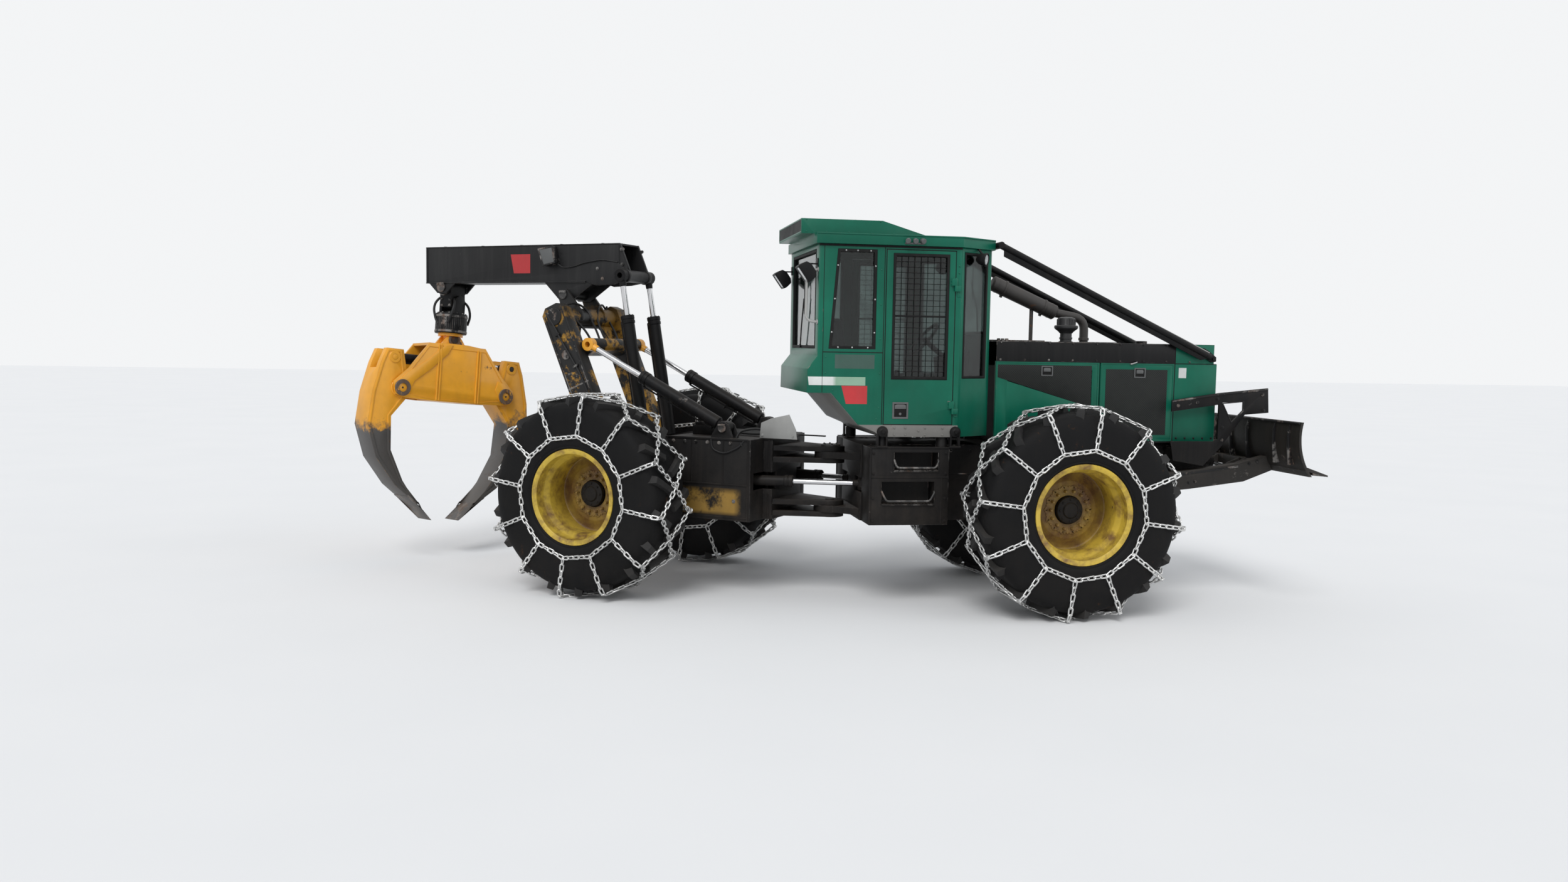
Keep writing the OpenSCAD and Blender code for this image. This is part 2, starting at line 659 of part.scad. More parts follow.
// Limb risers: two bars from a cross bar at the roof down to the nose
riser_top = [cab_front_x + gutter_w + seat + riser_r, cab_top_z + roof_t/2];
riser_low = [nose_x - 85, band_z + 65];
module limb_risers() color([0.12, 0.12, 0.12]) front() {
    y = hood_y + riser_r + seat;
    both_sides() translate([0, y, 0]) aim(riser_top, riser_low) rotate([0, 90, 0])
        cylinder(r = riser_r, h = gap(riser_top, riser_low));
    translate([riser_top[0], 0, riser_top[1]]) cross_bar(riser_r, -y - riser_r, y + riser_r);
}

// Exhaust: a silencer that slopes up toward the cab, on a pipe out of the hood
silencer_rear = [cab_front_x + 250, hood_top_z + 565];
silencer_front = [cab_front_x + 910, hood_top_z + 285];
elbow = [cab_front_x + 1210, hood_top_z + 235];
module exhaust() color([0.3, 0.27, 0.24]) front() translate([0, 250, 0]) {
    aim(silencer_rear, silencer_front) rotate([0, 90, 0]) cylinder(r = 75, h = gap(silencer_rear, silencer_front));
    aim(silencer_front, elbow) rotate([0, 90, 0]) translate([0, 0, -10])
        cylinder(r = 42, h = gap(silencer_front, elbow) + 10);
    translate([elbow[0], 0, hood_top_z]) cylinder(r = 42, h = elbow[1] - hood_top_z);
    translate([elbow[0], 0, elbow[1]]) sphere(r = 48);
}
module precleaner() color([0.08, 0.08, 0.08]) front() translate([cab_front_x + 840, -200, hood_top_z]) {
    cylinder(r = 65, h = 100);
    translate([0, 0, 100]) cylinder(r = 110, h = 60);
    translate([0, 0, 160]) cylinder(r = 85, h = 80);
}

// Cab: a floor, two sides, a front and a rear that seat on each other
cab_floor_z = cab_low_z + cab_t;
door_top_z = cab_top_z - 30;
side_rear_x = cab_rear_x + cab_t + seat;
inner_y = cab_y - cab_t - seat;
function cab_plan(inset) = [
    [cab_rear_x + inset, -cab_y + inset], [cab_corner_x, -cab_y + inset],
    [cab_front_x - inset, -cab_nose_y + inset*0.4], [cab_front_x - inset, cab_nose_y - inset*0.4],
    [cab_corner_x, cab_y - inset], [cab_rear_x + inset, cab_y - inset]];
// Angle of the corner windows' wall from the machine's length
corner_angle = atan2(cab_y - cab_nose_y, cab_front_x - cab_corner_x);
corner_len = gap([cab_corner_x, cab_y], [cab_front_x, cab_nose_y]);
// Draws along the left corner wall, +X along it and +Y outward
module on_corner() {
    translate([cab_corner_x, cab_y, 0]) rotate([0, 0, -corner_angle]) children();
}
// Underside of the cab from its rear wall to its floor, and how the floor's top lies over each point
FOOT = [[side_rear_x, foot_z], [cab_rear_x + 130, foot_z], [foot_x, door_low_z], [foot_x + 156, cab_low_z + 40],
    [foot_x + 206, cab_low_z]];
FOOT_TOP = [[0, 1], [0.45, 1], [0.6, 0.83], [0.51, 0.87], [0.35, 1]];
module cab_floor() color([0.2, 0.2, 0.2]) front() {
    plate(0, 2*inner_y) polygon(concat(FOOT, [[cab_corner_x, cab_low_z], [cab_corner_x, cab_floor_z]],
        [for (i = [4:-1:0]) FOOT[i] + FOOT_TOP[i]*cab_t]));
    // Front end, between the corner walls
    intersection() {
        translate([0, 0, cab_low_z]) linear_extrude(cab_t) polygon(cab_plan(cab_t + seat));
        block([cab_corner_x - 1, -cab_y, cab_low_z - 1], [cab_front_x, cab_y, cab_floor_z + 1]);
    }
    // Sills under the sides
    both_sides() plate((inner_y - 1 + cab_y)/2, cab_y - inner_y + 1) polygon([
        [foot_x + 2, door_low_z - seat], FOOT[3], FOOT[4],
        [cab_corner_x - seat, cab_low_z], [cab_corner_x - seat, door_low_z - seat]]);
}
// A side wall with the door's opening, a rear window and the door's hinge pins; side is -1 on the right
module cab_side(side) front() mirror([0, side < 0 ? 1 : 0, 0]) {
    difference() {
        plate(cab_y - cab_t/2, cab_t) polygon([FOOT[0], FOOT[1], FOOT[2], [cab_corner_x - seat, door_low_z],
            [cab_corner_x - seat, cab_top_z], [side_rear_x, cab_top_z]]);
        block([door_rear_x, cab_y - cab_t - 1, door_low_z - 1], [door_front_x, cab_y + 1, door_top_z]);
        plate(cab_y - cab_t/2, cab_t + 2) polygon(side_window(0));
    }
    hinge_pins();
}
// Outline of the rear side window, drawn smaller by play
function side_window(play) = [[cab_rear_x + 96 + 1.1*play, waist_z + play], [door_rear_x - 80 - play, waist_z + play],
    [door_rear_x - 80 - play, window_top_z - play], [cab_rear_x + 164 + 1.1*play, window_top_z - play]];
module cab_side_right() color([0.05, 0.2, 0.14]) cab_side(-1);
module cab_side_left() color([0.05, 0.2, 0.14]) cab_side(1);
// Windscreen wall with its two corner walls
module cab_front() color([0.05, 0.2, 0.14]) front() difference() {
    plan = cab_plan(0);
    inner = cab_plan(cab_t);
    translate([0, 0, cab_low_z]) linear_extrude(cab_top_z - cab_low_z)
        polygon([plan[1], plan[2], plan[3], plan[4], inner[4], inner[3], inner[2], inner[1]]);
    block([cab_front_x - 2*cab_t, -cab_nose_y + 60, hood_top_z + 60],
          [cab_front_x + 1, cab_nose_y - 60, window_top_z]);
    both_sides() on_corner() block([40, -2*cab_t, corner_low_z], [corner_len - 50, 1, window_top_z]);
}
// Rear wall with its window, and the box behind it
module cab_rear() color([0.05, 0.2, 0.14]) front() {
    difference() {
        block([cab_rear_x, -cab_y, foot_z], [cab_rear_x + cab_t, cab_y, cab_top_z]);
        block([cab_rear_x - 1, -cab_y + 130, waist_z], [cab_rear_x + 2*cab_t, cab_y - 130, window_top_z]);
    }
    plate(0, 2*cab_y) polygon([[cab_rear_x + 1, foot_z], [cab_rear_x + 1, foot_z + shelf_h],
        [cab_rear_x - shelf_d + 4, foot_z + shelf_h*0.65], [cab_rear_x - shelf_d, foot_z]]);
}
module cab_roof() color([0.06, 0.2, 0.15]) front() {
    roof_z = cab_top_z + roof_t;
    difference() {
        translate([0, 0, cab_top_z + seat]) linear_extrude(roof_t) polygon(cab_plan(-gutter_w));
        translate([0, 0, cab_top_z - 1]) linear_extrude(roof_t - 15) polygon(cab_plan(cab_t));
    }
    // Cooling unit with its sloping front, a hollow housing
    difference() {
        plate(0, 2*cooler_y) polygon([[cab_rear_x - 140, roof_z - 1], [cab_rear_x - 140, roof_z + cooler_h],
            [300, roof_z + cooler_h], [700, roof_z + 10], [700, roof_z - 1]]);
        plate(0, 2*cooler_y - 24) polygon([[cab_rear_x - 128, roof_z + 8], [cab_rear_x - 128, roof_z + cooler_h - 12],
            [296, roof_z + cooler_h - 12], [620, roof_z + 8]]);
    }
}
module cab_glass() color([0.2, 0.25, 0.25]) front() {
    both_sides() {
        plate(cab_y - 30 + glass_t/2, glass_t) polygon(side_window(seat));
        on_corner() block([40 + seat, -30, corner_low_z + seat],
                          [corner_len - 50 - seat, -30 + glass_t, window_top_z - seat]);
    }
    block([cab_front_x - 30, -cab_nose_y + 60 + seat, hood_top_z + 60 + seat],
          [cab_front_x - 30 + glass_t, cab_nose_y - 60 - seat, window_top_z - seat]);
    block([cab_rear_x + 22, -cab_y + 130 + seat, waist_z + seat],
          [cab_rear_x + 22 + glass_t, cab_y - 130 - seat, window_top_z - seat]);
}
module seat() color([0.12, 0.12, 0.12]) front() {
    translate([seat_x, 0, cab_floor_z + seat]) cylinder(r = 110, h = 250);
    block([seat_x - 360, -230, cab_low_z + 290], [seat_x + 120, 230, cab_low_z + 420]);
    plate(0, 440) polygon([[seat_x - 360, cab_low_z + 400], [seat_x - 250, cab_low_z + 400],
        [seat_x - 340, cab_low_z + 1050], [seat_x - 440, cab_low_z + 1050]]);
}
module dash_console() color([0.15, 0.15, 0.15]) front() {
    plate(0, 300) polygon([[1080, cab_floor_z + seat], [1260, cab_floor_z + seat],
        [1260, cab_low_z + 760], [1010, cab_low_z + 700]]);
    // Steering column, and the wheel with its spoke
    column = [1080, cab_low_z + 690];
    hub = [880, cab_low_z + 860];
    aim(column, hub) {
        rotate([0, 90, 0]) cylinder(r = 25, h = gap(column, hub) + 12);
        rotate([0, 90, 0]) translate([0, 0, gap(column, hub)]) difference() {
            cylinder(r = 190, h = 24);
            translate([0, 0, -1]) cylinder(r = 162, h = 26);
        }
        translate([gap(column, hub) + 5, -170, -15]) cube([12, 340, 30]);
    }
}
// Work lights on brackets behind the cab, aimed down to the rear
module work_lights() color([0.1, 0.1, 0.1]) front() both_sides() {
    y = cab_y - 65;
    z = cab_top_z - 250;
    block([cab_rear_x - 120, y - 30, z + 70], [cab_rear_x - seat, y + 30, z + 100]);
    translate([cab_rear_x - 95, y, z]) rotate([0, -35, 0]) cube([90, 150, 150], center = true);
}

// A door in its opening, with a large pane; side is -1 on the right and 1 on the left
module door(side) front() mirror([0, side < 0 ? 1 : 0, 0]) {
    difference() {
        block([door_rear_x + pass, cab_y - cab_t, door_low_z + pass],
              [door_front_x - pass, cab_y, door_top_z - pass]);
        block([door_rear_x + 65, cab_y - 2*cab_t, door_pane_z], [door_front_x - 60, cab_y + 1, door_top_z - 35]);
    }
    // Knuckles of the hinges
    for (z = HINGE_Z) difference() {
        union() {
            translate([hinge_x, hinge_y, z]) cylinder(r = knuckle_r, h = 60);
            block([hinge_x - 40, cab_y - 1, z], [hinge_x, hinge_y + knuckle_r - 4, z + 60]);
        }
        translate([hinge_x, hinge_y, z - 1]) cylinder(r = 8 + fit, h = 62);
    }
}
// Hinge pins of the doors, on leaves of the cab's wall
HINGE_Z = [1800, 2880];
knuckle_r = 14;
hinge_x = door_front_x - pass/2;
hinge_y = cab_y + knuckle_r;
module hinge_pins() for (z = HINGE_Z) {
    translate([hinge_x, hinge_y, z - 50]) cylinder(r = 8, h = 118);
    translate([hinge_x, hinge_y, z - 50]) cylinder(r = knuckle_r, h = 50 - seat);
    block([hinge_x, cab_y - 1, z - 50], [hinge_x + 44, hinge_y + knuckle_r - 4, z - seat]);
}
module door_glass(side) front() mirror([0, side < 0 ? 1 : 0, 0])
    block([door_rear_x + 65 + seat, cab_y - 30, door_pane_z + seat],
          [door_front_x - 60 - seat, cab_y - 30 + glass_t, door_top_z - 35 - seat]);
module door_right() color([0.05, 0.2, 0.14]) door(-1);
module door_left() color([0.05, 0.2, 0.14]) door(1);
module door_glass_right() color([0.2, 0.25, 0.25]) door_glass(-1);
module door_glass_left() color([0.2, 0.25, 0.25]) door_glass(1);

// Blade, curved, with its two arms
module blade() color([0.06, 0.06, 0.06]) front() {
    difference() {
        union() {
            // Mouldboard as an arc of plate from the top edge to the cutting edge
            intersection() {
                in_blade() cross_bar(blade_r, -blade_y, blade_y);
                block([blade_face_x - 300, -blade_y - 1, blade_low_z],
                      [blade_face_x + 140, blade_y + 1, blade_low_z + blade_h]);
            }
            both_sides() {
                plate(arm_y, arm_t) polygon([[arm_pivot_x, arm_pivot_z - 85], [arm_pivot_x + 660, arm_pivot_z - 30],
                    [blade_face_x - 350, blade_low_z - 105], [blade_face_x - 30, blade_low_z + 15],
                    [blade_face_x - 30, blade_low_z + 165], [blade_face_x - 400, blade_low_z + 65],
                    [arm_pivot_x + 610, arm_pivot_z + 140], [arm_pivot_x, arm_pivot_z + 85]]);
                translate([arm_pivot_x, 0, arm_pivot_z]) cross_bar(85, arm_y - arm_t/2, arm_y + arm_t/2);
            }
            // Beam that joins the arms, with the lugs beside the cylinders' eyes
            block([blade_eye[0] + 100, -arm_y, blade_low_z + 5], [blade_face_x - 50, arm_y, blade_low_z + 95]);
            for (y = [-1, 1]*blade_cyl_y) lugs(y, rod_w) polygon([
                [blade_eye[0] + 105, blade_low_z + 90], [blade_eye[0] + 105, blade_low_z + 10],
                [blade_eye[0] + 20, blade_eye[1] - 55], [blade_eye[0] - 35, blade_eye[1] - 45],
                [blade_eye[0] - 50, blade_eye[1] + 10], [blade_eye[0] - 20, blade_eye[1] + 60]]);
        }
        in_blade() cross_bar(blade_r - blade_t, -blade_y - 1, blade_y + 1);
        translate([arm_pivot_x, 0, arm_pivot_z]) cross_bar(arm_pin_r + fit, -nose_y - 200, nose_y + 200);
    }
    // Cutting edge
    plate(0, 2*blade_y) polygon([[blade_face_x - 95, blade_low_z + 55], [blade_face_x + 130, blade_low_z],
        [blade_face_x + 130, blade_low_z + 14], [blade_face_x - 75, blade_low_z + 85]]);
}
// Middle of the mouldboard's curve
module in_blade() {
    translate([blade_face_x - 170 + blade_r, 0, blade_low_z + blade_h*0.72]) children();
}
blade_len = gap(blade_base, blade_eye);
module blade_barrels() color([0.07, 0.07, 0.07]) front() for (y = [-1, 1]*blade_cyl_y)
    translate([0, y, 0]) aim(blade_base, blade_eye) barrel(len = 760, bore = 560);
module blade_rods() color([0.7, 0.7, 0.7]) front() for (y = [-1, 1]*blade_cyl_y)
    translate([0, y, 0]) aim(blade_base, blade_eye) rod(300, blade_len);

// Steering cylinders, from the rear frame to the front frame
module steering(side) rear() mirror([0, side < 0 ? 1 : 0, 0])
    translate([steer_base[0], steer_base[1], steer_z]) children();
// The eye as the rear frame sees it on this side
function seen_from_rear(p, side) = [
    p[0]*cos(articulation) + side*p[1]*sin(articulation),
    side*(side*p[1]*cos(articulation) - p[0]*sin(articulation))];
function steer_line(side) = seen_from_rear(steer_eye, side) - steer_base;
module along_steering(side) steering(side)
    rotate([0, 0, atan2(steer_line(side)[1], steer_line(side)[0])]) rotate([90, 0, 0]) children();
module steer_barrel(side) along_steering(side)
    barrel(len = 620, bore = 555, r = 48, rod = 25, eye = 50, pin = 25, w = 80);
module steer_rod(side) along_steering(side)
    rod(norm(steer_line(side)) - 765, norm(steer_line(side)), rod = 25, eye = 50, w = steer_w);
module steer_barrel_right() color([0.07, 0.07, 0.07]) steer_barrel(-1);
module steer_barrel_left() color([0.07, 0.07, 0.07]) steer_barrel(1);
module steer_rod_right() color([0.7, 0.7, 0.7]) steer_rod(-1);
module steer_rod_left() color([0.7, 0.7, 0.7]) steer_rod(1);

// Rear frame
module rear_frame() color([0.08, 0.08, 0.08]) rear() {
    difference() {
        union() {
            // Plates above and below each hinge plate of the front frame
            for (z = [hinge_top_z, hinge_low_z]) for (s = [-1, 1])
                translate([0, 0, z + s*(hinge_t/2 + seat + 23) - 23]) linear_extrude(46) {
                    circle(r = hinge_r - 20);
                    polygon([[0, -hinge_r + 20], [0, hinge_r - 20], [neck_x + 20, 300], [neck_x + 20, -300]]);
                }
            // Neck, floor, deck and walls
            block([neck_x, -320, rear_low_z], [neck_x + 30, 320, rear_top_z]);
            both_sides() block([rear_wide_x, 290, rear_low_z], [neck_x + 10, 320, rear_top_z]);
            block([rear_wide_x - 1, -rear_y + 1, rear_low_z], [rear_wide_x + 24, rear_y - 1, rear_top_z]);
            for (z = [rear_low_z, rear_top_z - 20]) {
                block([deck_rear_x, -rear_y + 1, z], [rear_wide_x + 20, rear_y - 1, z + 20]);
                block([rear_wide_x, -319, z], [neck_x + 10, 319, z + 20]);
            }
            block([deck_rear_x, -rear_y + 1, rear_low_z], [deck_rear_x + 24, rear_y - 1, rear_top_z]);
            block([rear_end_x, -rear_y + 1, rear_low_z + 60], [rear_end_x + 40, rear_y - 1, 1000]);
            both_sides() {
                // Side plate, notched over the axle
                plate(rear_y - rear_t/2, rear_t) polygon([
                    [rear_wide_x, rear_low_z], [-rear_axle_x + 330, rear_low_z],
                    [-rear_axle_x + 200, axle_z + axle_r + 40],
                    [-rear_axle_x - 200, axle_z + axle_r + 40], [-rear_axle_x - 330, rear_low_z + 60],
                    [rear_end_x, rear_low_z + 60], [rear_end_x, arch_z], [arch_x - 160, arch_z + 130],
                    [arch_x + 160, arch_z + 130], [deck_rear_x - 200, rear_top_z], [rear_wide_x, rear_top_z]]);
                // Axle saddle
                block([-rear_axle_x - 150, rear_y - 130, axle_z + axle_r - 40],
                      [-rear_axle_x + 150, rear_y - rear_t + 1, axle_z + axle_r + 50]);
                lugs(arch_cyl_y, barrel_w) polygon([
                    [arch_base[0] - 130, rear_top_z - 10], [arch_base[0] + 110, rear_top_z - 10],
                    [arch_base[0] + 60, arch_base[1] + 30], [arch_base[0] + 20, arch_base[1] + 58],
                    [arch_base[0] - 40, arch_base[1] + 55]]);
            }
        }
        translate([-rear_axle_x, 0, axle_z]) cross_bar(axle_r + seat, -rear_y, rear_y);
        // Openings for the steering cylinders
        both_sides() block([rear_wide_x - 40, 230, steer_z - 80], [neck_x + 60, 530, steer_z + 80]);
    }
    for (z = [hinge_top_z, hinge_low_z])
        translate([0, 0, z - hinge_t/2 - 52]) cylinder(r = hinge_pin_r, h = hinge_t + 104);
    both_sides() {
        lug_pin(arch_base, arch_cyl_y, barrel_w);
        // Pin of the arch, in a boss on the side plate
        translate([arch_x, 0, arch_z]) {
            cross_bar(arch_pin_r, leg_y - leg_t/2 - 12, rear_y - 1);
            cross_bar(80, leg_y + leg_t/2 + seat, rear_y - rear_t + 1);
        }
        // Steering cylinder's lugs and pin
        for (s = [-1, 1]) translate([0, 0, steer_z + s*lug_off(80) - lug_t/2]) linear_extrude(lug_t) polygon([
            [steer_base[0] + 70, rear_y - 1], [steer_base[0] + 40, steer_base[1] - 45],
            [steer_base[0], steer_base[1] - 60],
            [steer_base[0] - 50, steer_base[1] - 30], [steer_base[0] - 80, rear_y - 1]]);
        translate([steer_base[0], steer_base[1], steer_z - 75]) cylinder(r = 25, h = 150);
    }
}

// Arch: leans back from its pivot; u runs up a leg and v forward of it
module in_arch() {
    rear() translate([arch_x, 0, arch_z]) rotate([0, -arch_lean, 0]) children();
}
// A point of the rear frame's side view as the arch sees it, [v, u]
function arch_view(p) = let (d = p - [arch_x, arch_z]) [
    d[0]*cos(arch_lean) + d[1]*sin(arch_lean),
    d[1]*cos(arch_lean) - d[0]*sin(arch_lean)];
boom_pivot_a = arch_view([boom_x, boom_z]);
boom_base_a = arch_view(boom_base);
// Inner side of the arch cylinders' eyes
arch_eye_y = arch_cyl_y - rod_w/2 - seat;
module arch() color([0.09, 0.08, 0.07]) in_arch() {
    difference() {
        union() {
            both_sides() {
                difference() {
                    plate(leg_y, leg_t) polygon([[-leg_w/2, 0], [leg_w/2, 0], [leg_w/2, leg_len - 60],
                        [leg_w/2 - 60, leg_len], [60 - leg_w/2, leg_len], [-leg_w/2, leg_len - 60]]);
                    plate(leg_y, leg_t - 2*arch_t) polygon([[arch_t - leg_w/2, 150], [leg_w/2 - arch_t, 150],
                        [leg_w/2 - arch_t, leg_len - 80], [arch_t - leg_w/2, leg_len - 80]]);
                }
                cross_bar(leg_w/2, leg_y - leg_t/2, leg_y + leg_t/2);
                // Boss beside the arch cylinder's eye
                plate(arch_cyl_y - lug_off(rod_w), lug_t) polygon([
                    [leg_w/2 - 60, low_tube_u - 90], [low_tube_v + 45, low_tube_u - 45],
                    [low_tube_v + 45, low_tube_u + 45], [leg_w/2 - 60, low_tube_u + 90]]);
                // Foot that carries the boom cylinder
                lugs(boom_cyl_y, barrel_w) polygon([
                    [boom_base_a[0] - 190, boom_base_a[1] + 20], [boom_base_a[0] - 150, boom_base_a[1] + 110],
                    [boom_base_a[0] + 60, boom_base_a[1] + 50], [boom_base_a[0] + 50, boom_base_a[1] - 50]]);
                lug_pin(boom_base_a, boom_cyl_y, barrel_w);
                // Ears for the boom's pin
                plate(boom_y + 34, 28) polygon([
                    [boom_pivot_a[0] - 60, boom_pivot_a[1] + 40], [boom_pivot_a[0] + 60, boom_pivot_a[1] + 40],
                    [110, top_tube_u + 20], [90, top_tube_u - 60], [-90, top_tube_u - 60], [-110, top_tube_u + 20]]);
            }
            translate([0, 0, top_tube_u]) cross_bar(top_tube_r, -leg_y, leg_y);
            translate([low_tube_v, 0, low_tube_u]) cross_bar(low_tube_r, -arch_eye_y, arch_eye_y);
            translate([boom_base_a[0] - 165, 0, boom_base_a[1] + 60]) cross_bar(52, -leg_y, leg_y);
            // Web with its round-topped opening
            difference() {
                block([-12, -leg_y, low_tube_u - 30], [12, leg_y, top_tube_u]);
                plate_opening();
            }
            block([0, -leg_y, low_tube_u - 30], [leg_w/2 - 1, leg_y, low_tube_u - 8]);
            block([0, -arch_eye_y, low_tube_u - 30], [low_tube_v, arch_eye_y, low_tube_u - 8]);
        }
        cross_bar(arch_pin_r + fit, -rear_y, rear_y);
        translate([boom_pivot_a[0], 0, boom_pivot_a[1]]) cross_bar(boom_pin_r + fit, -boom_y - 60, boom_y + 60);
    }
}
module plate_opening() translate([-20, 0, low_tube_u]) rotate([90, 0, 90]) linear_extrude(60) {
    translate([-270, 0]) square([540, 90]);
    intersection() {
        translate([0, 60]) circle(r = 270);
        translate([-270, 0]) square([540, 270]);
    }
}
// Eye of the arch cylinders in the rear frame's side view
arch_eye = [arch_x + low_tube_v*cos(arch_lean) - low_tube_u*sin(arch_lean),
            arch_z + low_tube_v*sin(arch_lean) + low_tube_u*cos(arch_lean)];
module arch_barrels() color([0.08, 0.08, 0.08]) rear() for (y = [-1, 1]*arch_cyl_y)
    translate([0, y, 0]) aim(arch_base, arch_eye) barrel(len = 1020, bore = 860);
module arch_rods() color([0.7, 0.68, 0.65]) rear() for (y = [-1, 1]*arch_cyl_y)
    translate([0, y, 0]) aim(arch_base, arch_eye) rod(440, gap(arch_base, arch_eye));

// Boom: a box beam with the grapple's pin at its rear end
BOOM_SIDE = [[boom_rear_x, boom_low_z], [boom_rear_x, boom_top_z], [boom_front_x - 115, boom_top_z],
    [boom_front_x, boom_top_z - 270], [boom_front_x - 40, boom_low_z + 20], [boom_front_x - 190, boom_low_z - 20],
    [-2500, boom_low_z - 30], [-2600, boom_low_z]];
module boom() color([0.06, 0.06, 0.06]) rear() {
    difference() {
        union() {
            both_sides() {
                plate(boom_y - boom_t/2, boom_t) polygon(BOOM_SIDE);
                // Ears down to the boom's pivot
                plate(boom_y - boom_t/2, boom_t) polygon([[boom_x - 260, boom_low_z + 1], [boom_x - 75, boom_z - 55],
                    [boom_x + 75, boom_z - 55], [boom_x + 340, boom_low_z + 1]]);
                // Ears down to the grapple's pin
                plate(boom_y - boom_t/2, boom_t) polygon([[hang_x - 170, boom_low_z + 1], [hang_x - 60, hang_z - 62],
                    [hang_x + 60, hang_z - 62], [hang_x + 170, boom_low_z + 1]]);
                // Boss beside the boom cylinder's eye
                translate([boom_eye[0], 0, boom_eye[1]]) cross_bar(70, boom_y - 1, boom_cyl_y - rod_w/2 - seat);
            }
            // Top and bottom plates
            block([boom_rear_x, -boom_y + 1, boom_top_z - boom_t], [boom_front_x - 115, boom_y - 1, boom_top_z]);
            block([boom_rear_x, -boom_y + 1, boom_low_z], [hang_x - 110, boom_y - 1, boom_low_z + boom_t]);
            block([hang_x + 110, -boom_y + 1, boom_low_z], [hang_x + 300, boom_y - 1, boom_low_z + boom_t]);
            block([hang_x + 280, -boom_y - 16, boom_low_z - 1], [-2620, boom_y + 16, boom_low_z + boom_t - 1]);
            block([boom_rear_x, -boom_y + 1, boom_low_z], [boom_rear_x + boom_t, boom_y - 1, boom_top_z]);
            translate([boom_x, 0, boom_z]) cross_bar(boom_pin_r, -boom_y - 52, boom_y + 52);
            translate([boom_eye[0], 0, boom_eye[1]]) cross_bar(60, -boom_y, boom_y);
            translate([hang_x, 0, hang_z]) cross_bar(38, -boom_y - 12, boom_y + 12);
        }
    }
}
module boom_barrels() color([0.08, 0.08, 0.08]) rear() for (y = [-1, 1]*boom_cyl_y)
    translate([0, y, 0]) aim(boom_base, boom_eye) barrel(len = 1290, bore = 880);
module boom_rods() color([0.7, 0.68, 0.65]) rear() for (y = [-1, 1]*boom_cyl_y)
    translate([0, y, 0]) aim(boom_base, boom_eye) rod(560, gap(boom_base, boom_eye));

// Grapple hanger: swings on the boom's pin, and carries the rotator on a pin along the machine
roll_z = hang_z - 165;
module grapple_hanger() color([0.06, 0.06, 0.06]) rear() translate([hang_x, 0, 0]) difference() {
    union() {
        translate([0, 0, hang_z]) cross_bar(75, -boom_y + boom_t + seat, boom_y - boom_t - seat);
        block([-75, -110, roll_z - 40], [75, 110, hang_z]);
        translate([-75, 0, roll_z]) rotate([0, 90, 0]) cylinder(r = 80, h = 150);
    }
    translate([0, 0, hang_z]) cross_bar(38 + fit, -boom_y, boom_y);
    translate([-100, 0, roll_z]) rotate([0, 90, 0]) cylinder(r = roll_pin_r + fit, h = 200);
}
// Everything below the roll pin is drawn tilted about it
module tilted() {
    rear() translate([hang_x, 0, roll_z]) rotate([grapple_tilt, 0, 0]) children();
}
// The grapple hangs from the rotator and is turned about it
module turned() {
    tilted() rotate([0, 0, grapple_turn]) children();
}
rotor_low = -330;
module grapple_rotator() color([0.07, 0.07, 0.07]) tilted() {
    for (s = [-1, 1]) translate([s*(75 + seat + 16) - 16, 0, 0]) rotate([0, 90, 0]) linear_extrude(32) {
        circle(r = 78);
        translate([0, -78]) square([130, 156]);
    }
    translate([-107, 0, 0]) rotate([0, 90, 0]) cylinder(r = roll_pin_r, h = 214);
    translate([0, 0, -150]) cylinder(r = 130, h = 36);
    translate([0, 0, rotor_low]) cylinder(r = 165, h = -rotor_low - 120);
    // Motor beside the housing
    translate([-150, 110, -280]) cylinder(r = 62, h = 210);
}
// Grapple head, with its parts as [along, up] from the roll pin
lug_drop = -400;
pivot_drop = -960;
ram_z = pivot_drop + 310;
ram_x = tong_x + 80;
HEAD_SIDE = [[-tong_x - 95, pivot_drop + 60], [-tong_x - 70, pivot_drop - 70], [-tong_x + 40, pivot_drop - 100],
    [-260, pivot_drop - 110], [260, pivot_drop - 110], [tong_x - 40, pivot_drop - 100],
    [tong_x + 70, pivot_drop - 70],
    [tong_x + 95, pivot_drop + 60], [tong_x - 60, pivot_drop + 210], [330, lug_drop - 70], [120, lug_drop - 50],
    [-120, lug_drop - 50], [-330, lug_drop - 70], [-tong_x + 60, pivot_drop + 210]];
module grapple_head() color([0.85, 0.55, 0.1]) turned() {
    for (s = [-1, 1]) {
        plate(s*(head_w/2 - grapple_t/2), grapple_t) polygon(HEAD_SIDE);
        // Lug on the top
        plate(s*74, 28) polygon([[-150, lug_drop - 70], [-85, lug_drop + 20], [-40, lug_drop + 60],
            [40, lug_drop + 60],
            [85, lug_drop + 20], [150, lug_drop - 70]]);
        // Walls of the middle box, under the ram
        block([s*250 - 11, -head_w/2 + 1, pivot_drop - 100], [s*250 + 11, head_w/2 - 1, ram_z - 110]);
        translate([s*tong_x, 0, pivot_drop]) cross_bar(tong_pin_r, -head_w/2 - 12, head_w/2 + 12);
    }
    block([-330, -head_w/2 + 1, lug_drop - 92], [330, head_w/2 - 1, lug_drop - 64]);
    block([-260, -head_w/2 + 1, pivot_drop - 110], [260, head_w/2 - 1, pivot_drop - 88]);
    // Swivel that hangs in the rotator
    translate([0, 0, lug_drop]) cross_bar(42, -100, 100);
    translate([0, 0, lug_drop]) cross_bar(60, -61, 61);
    block([-60, -50, lug_drop], [60, 50, rotor_low - 20]);
    translate([0, 0, rotor_low - 32]) cylinder(r = 130, h = 32 - seat);
}
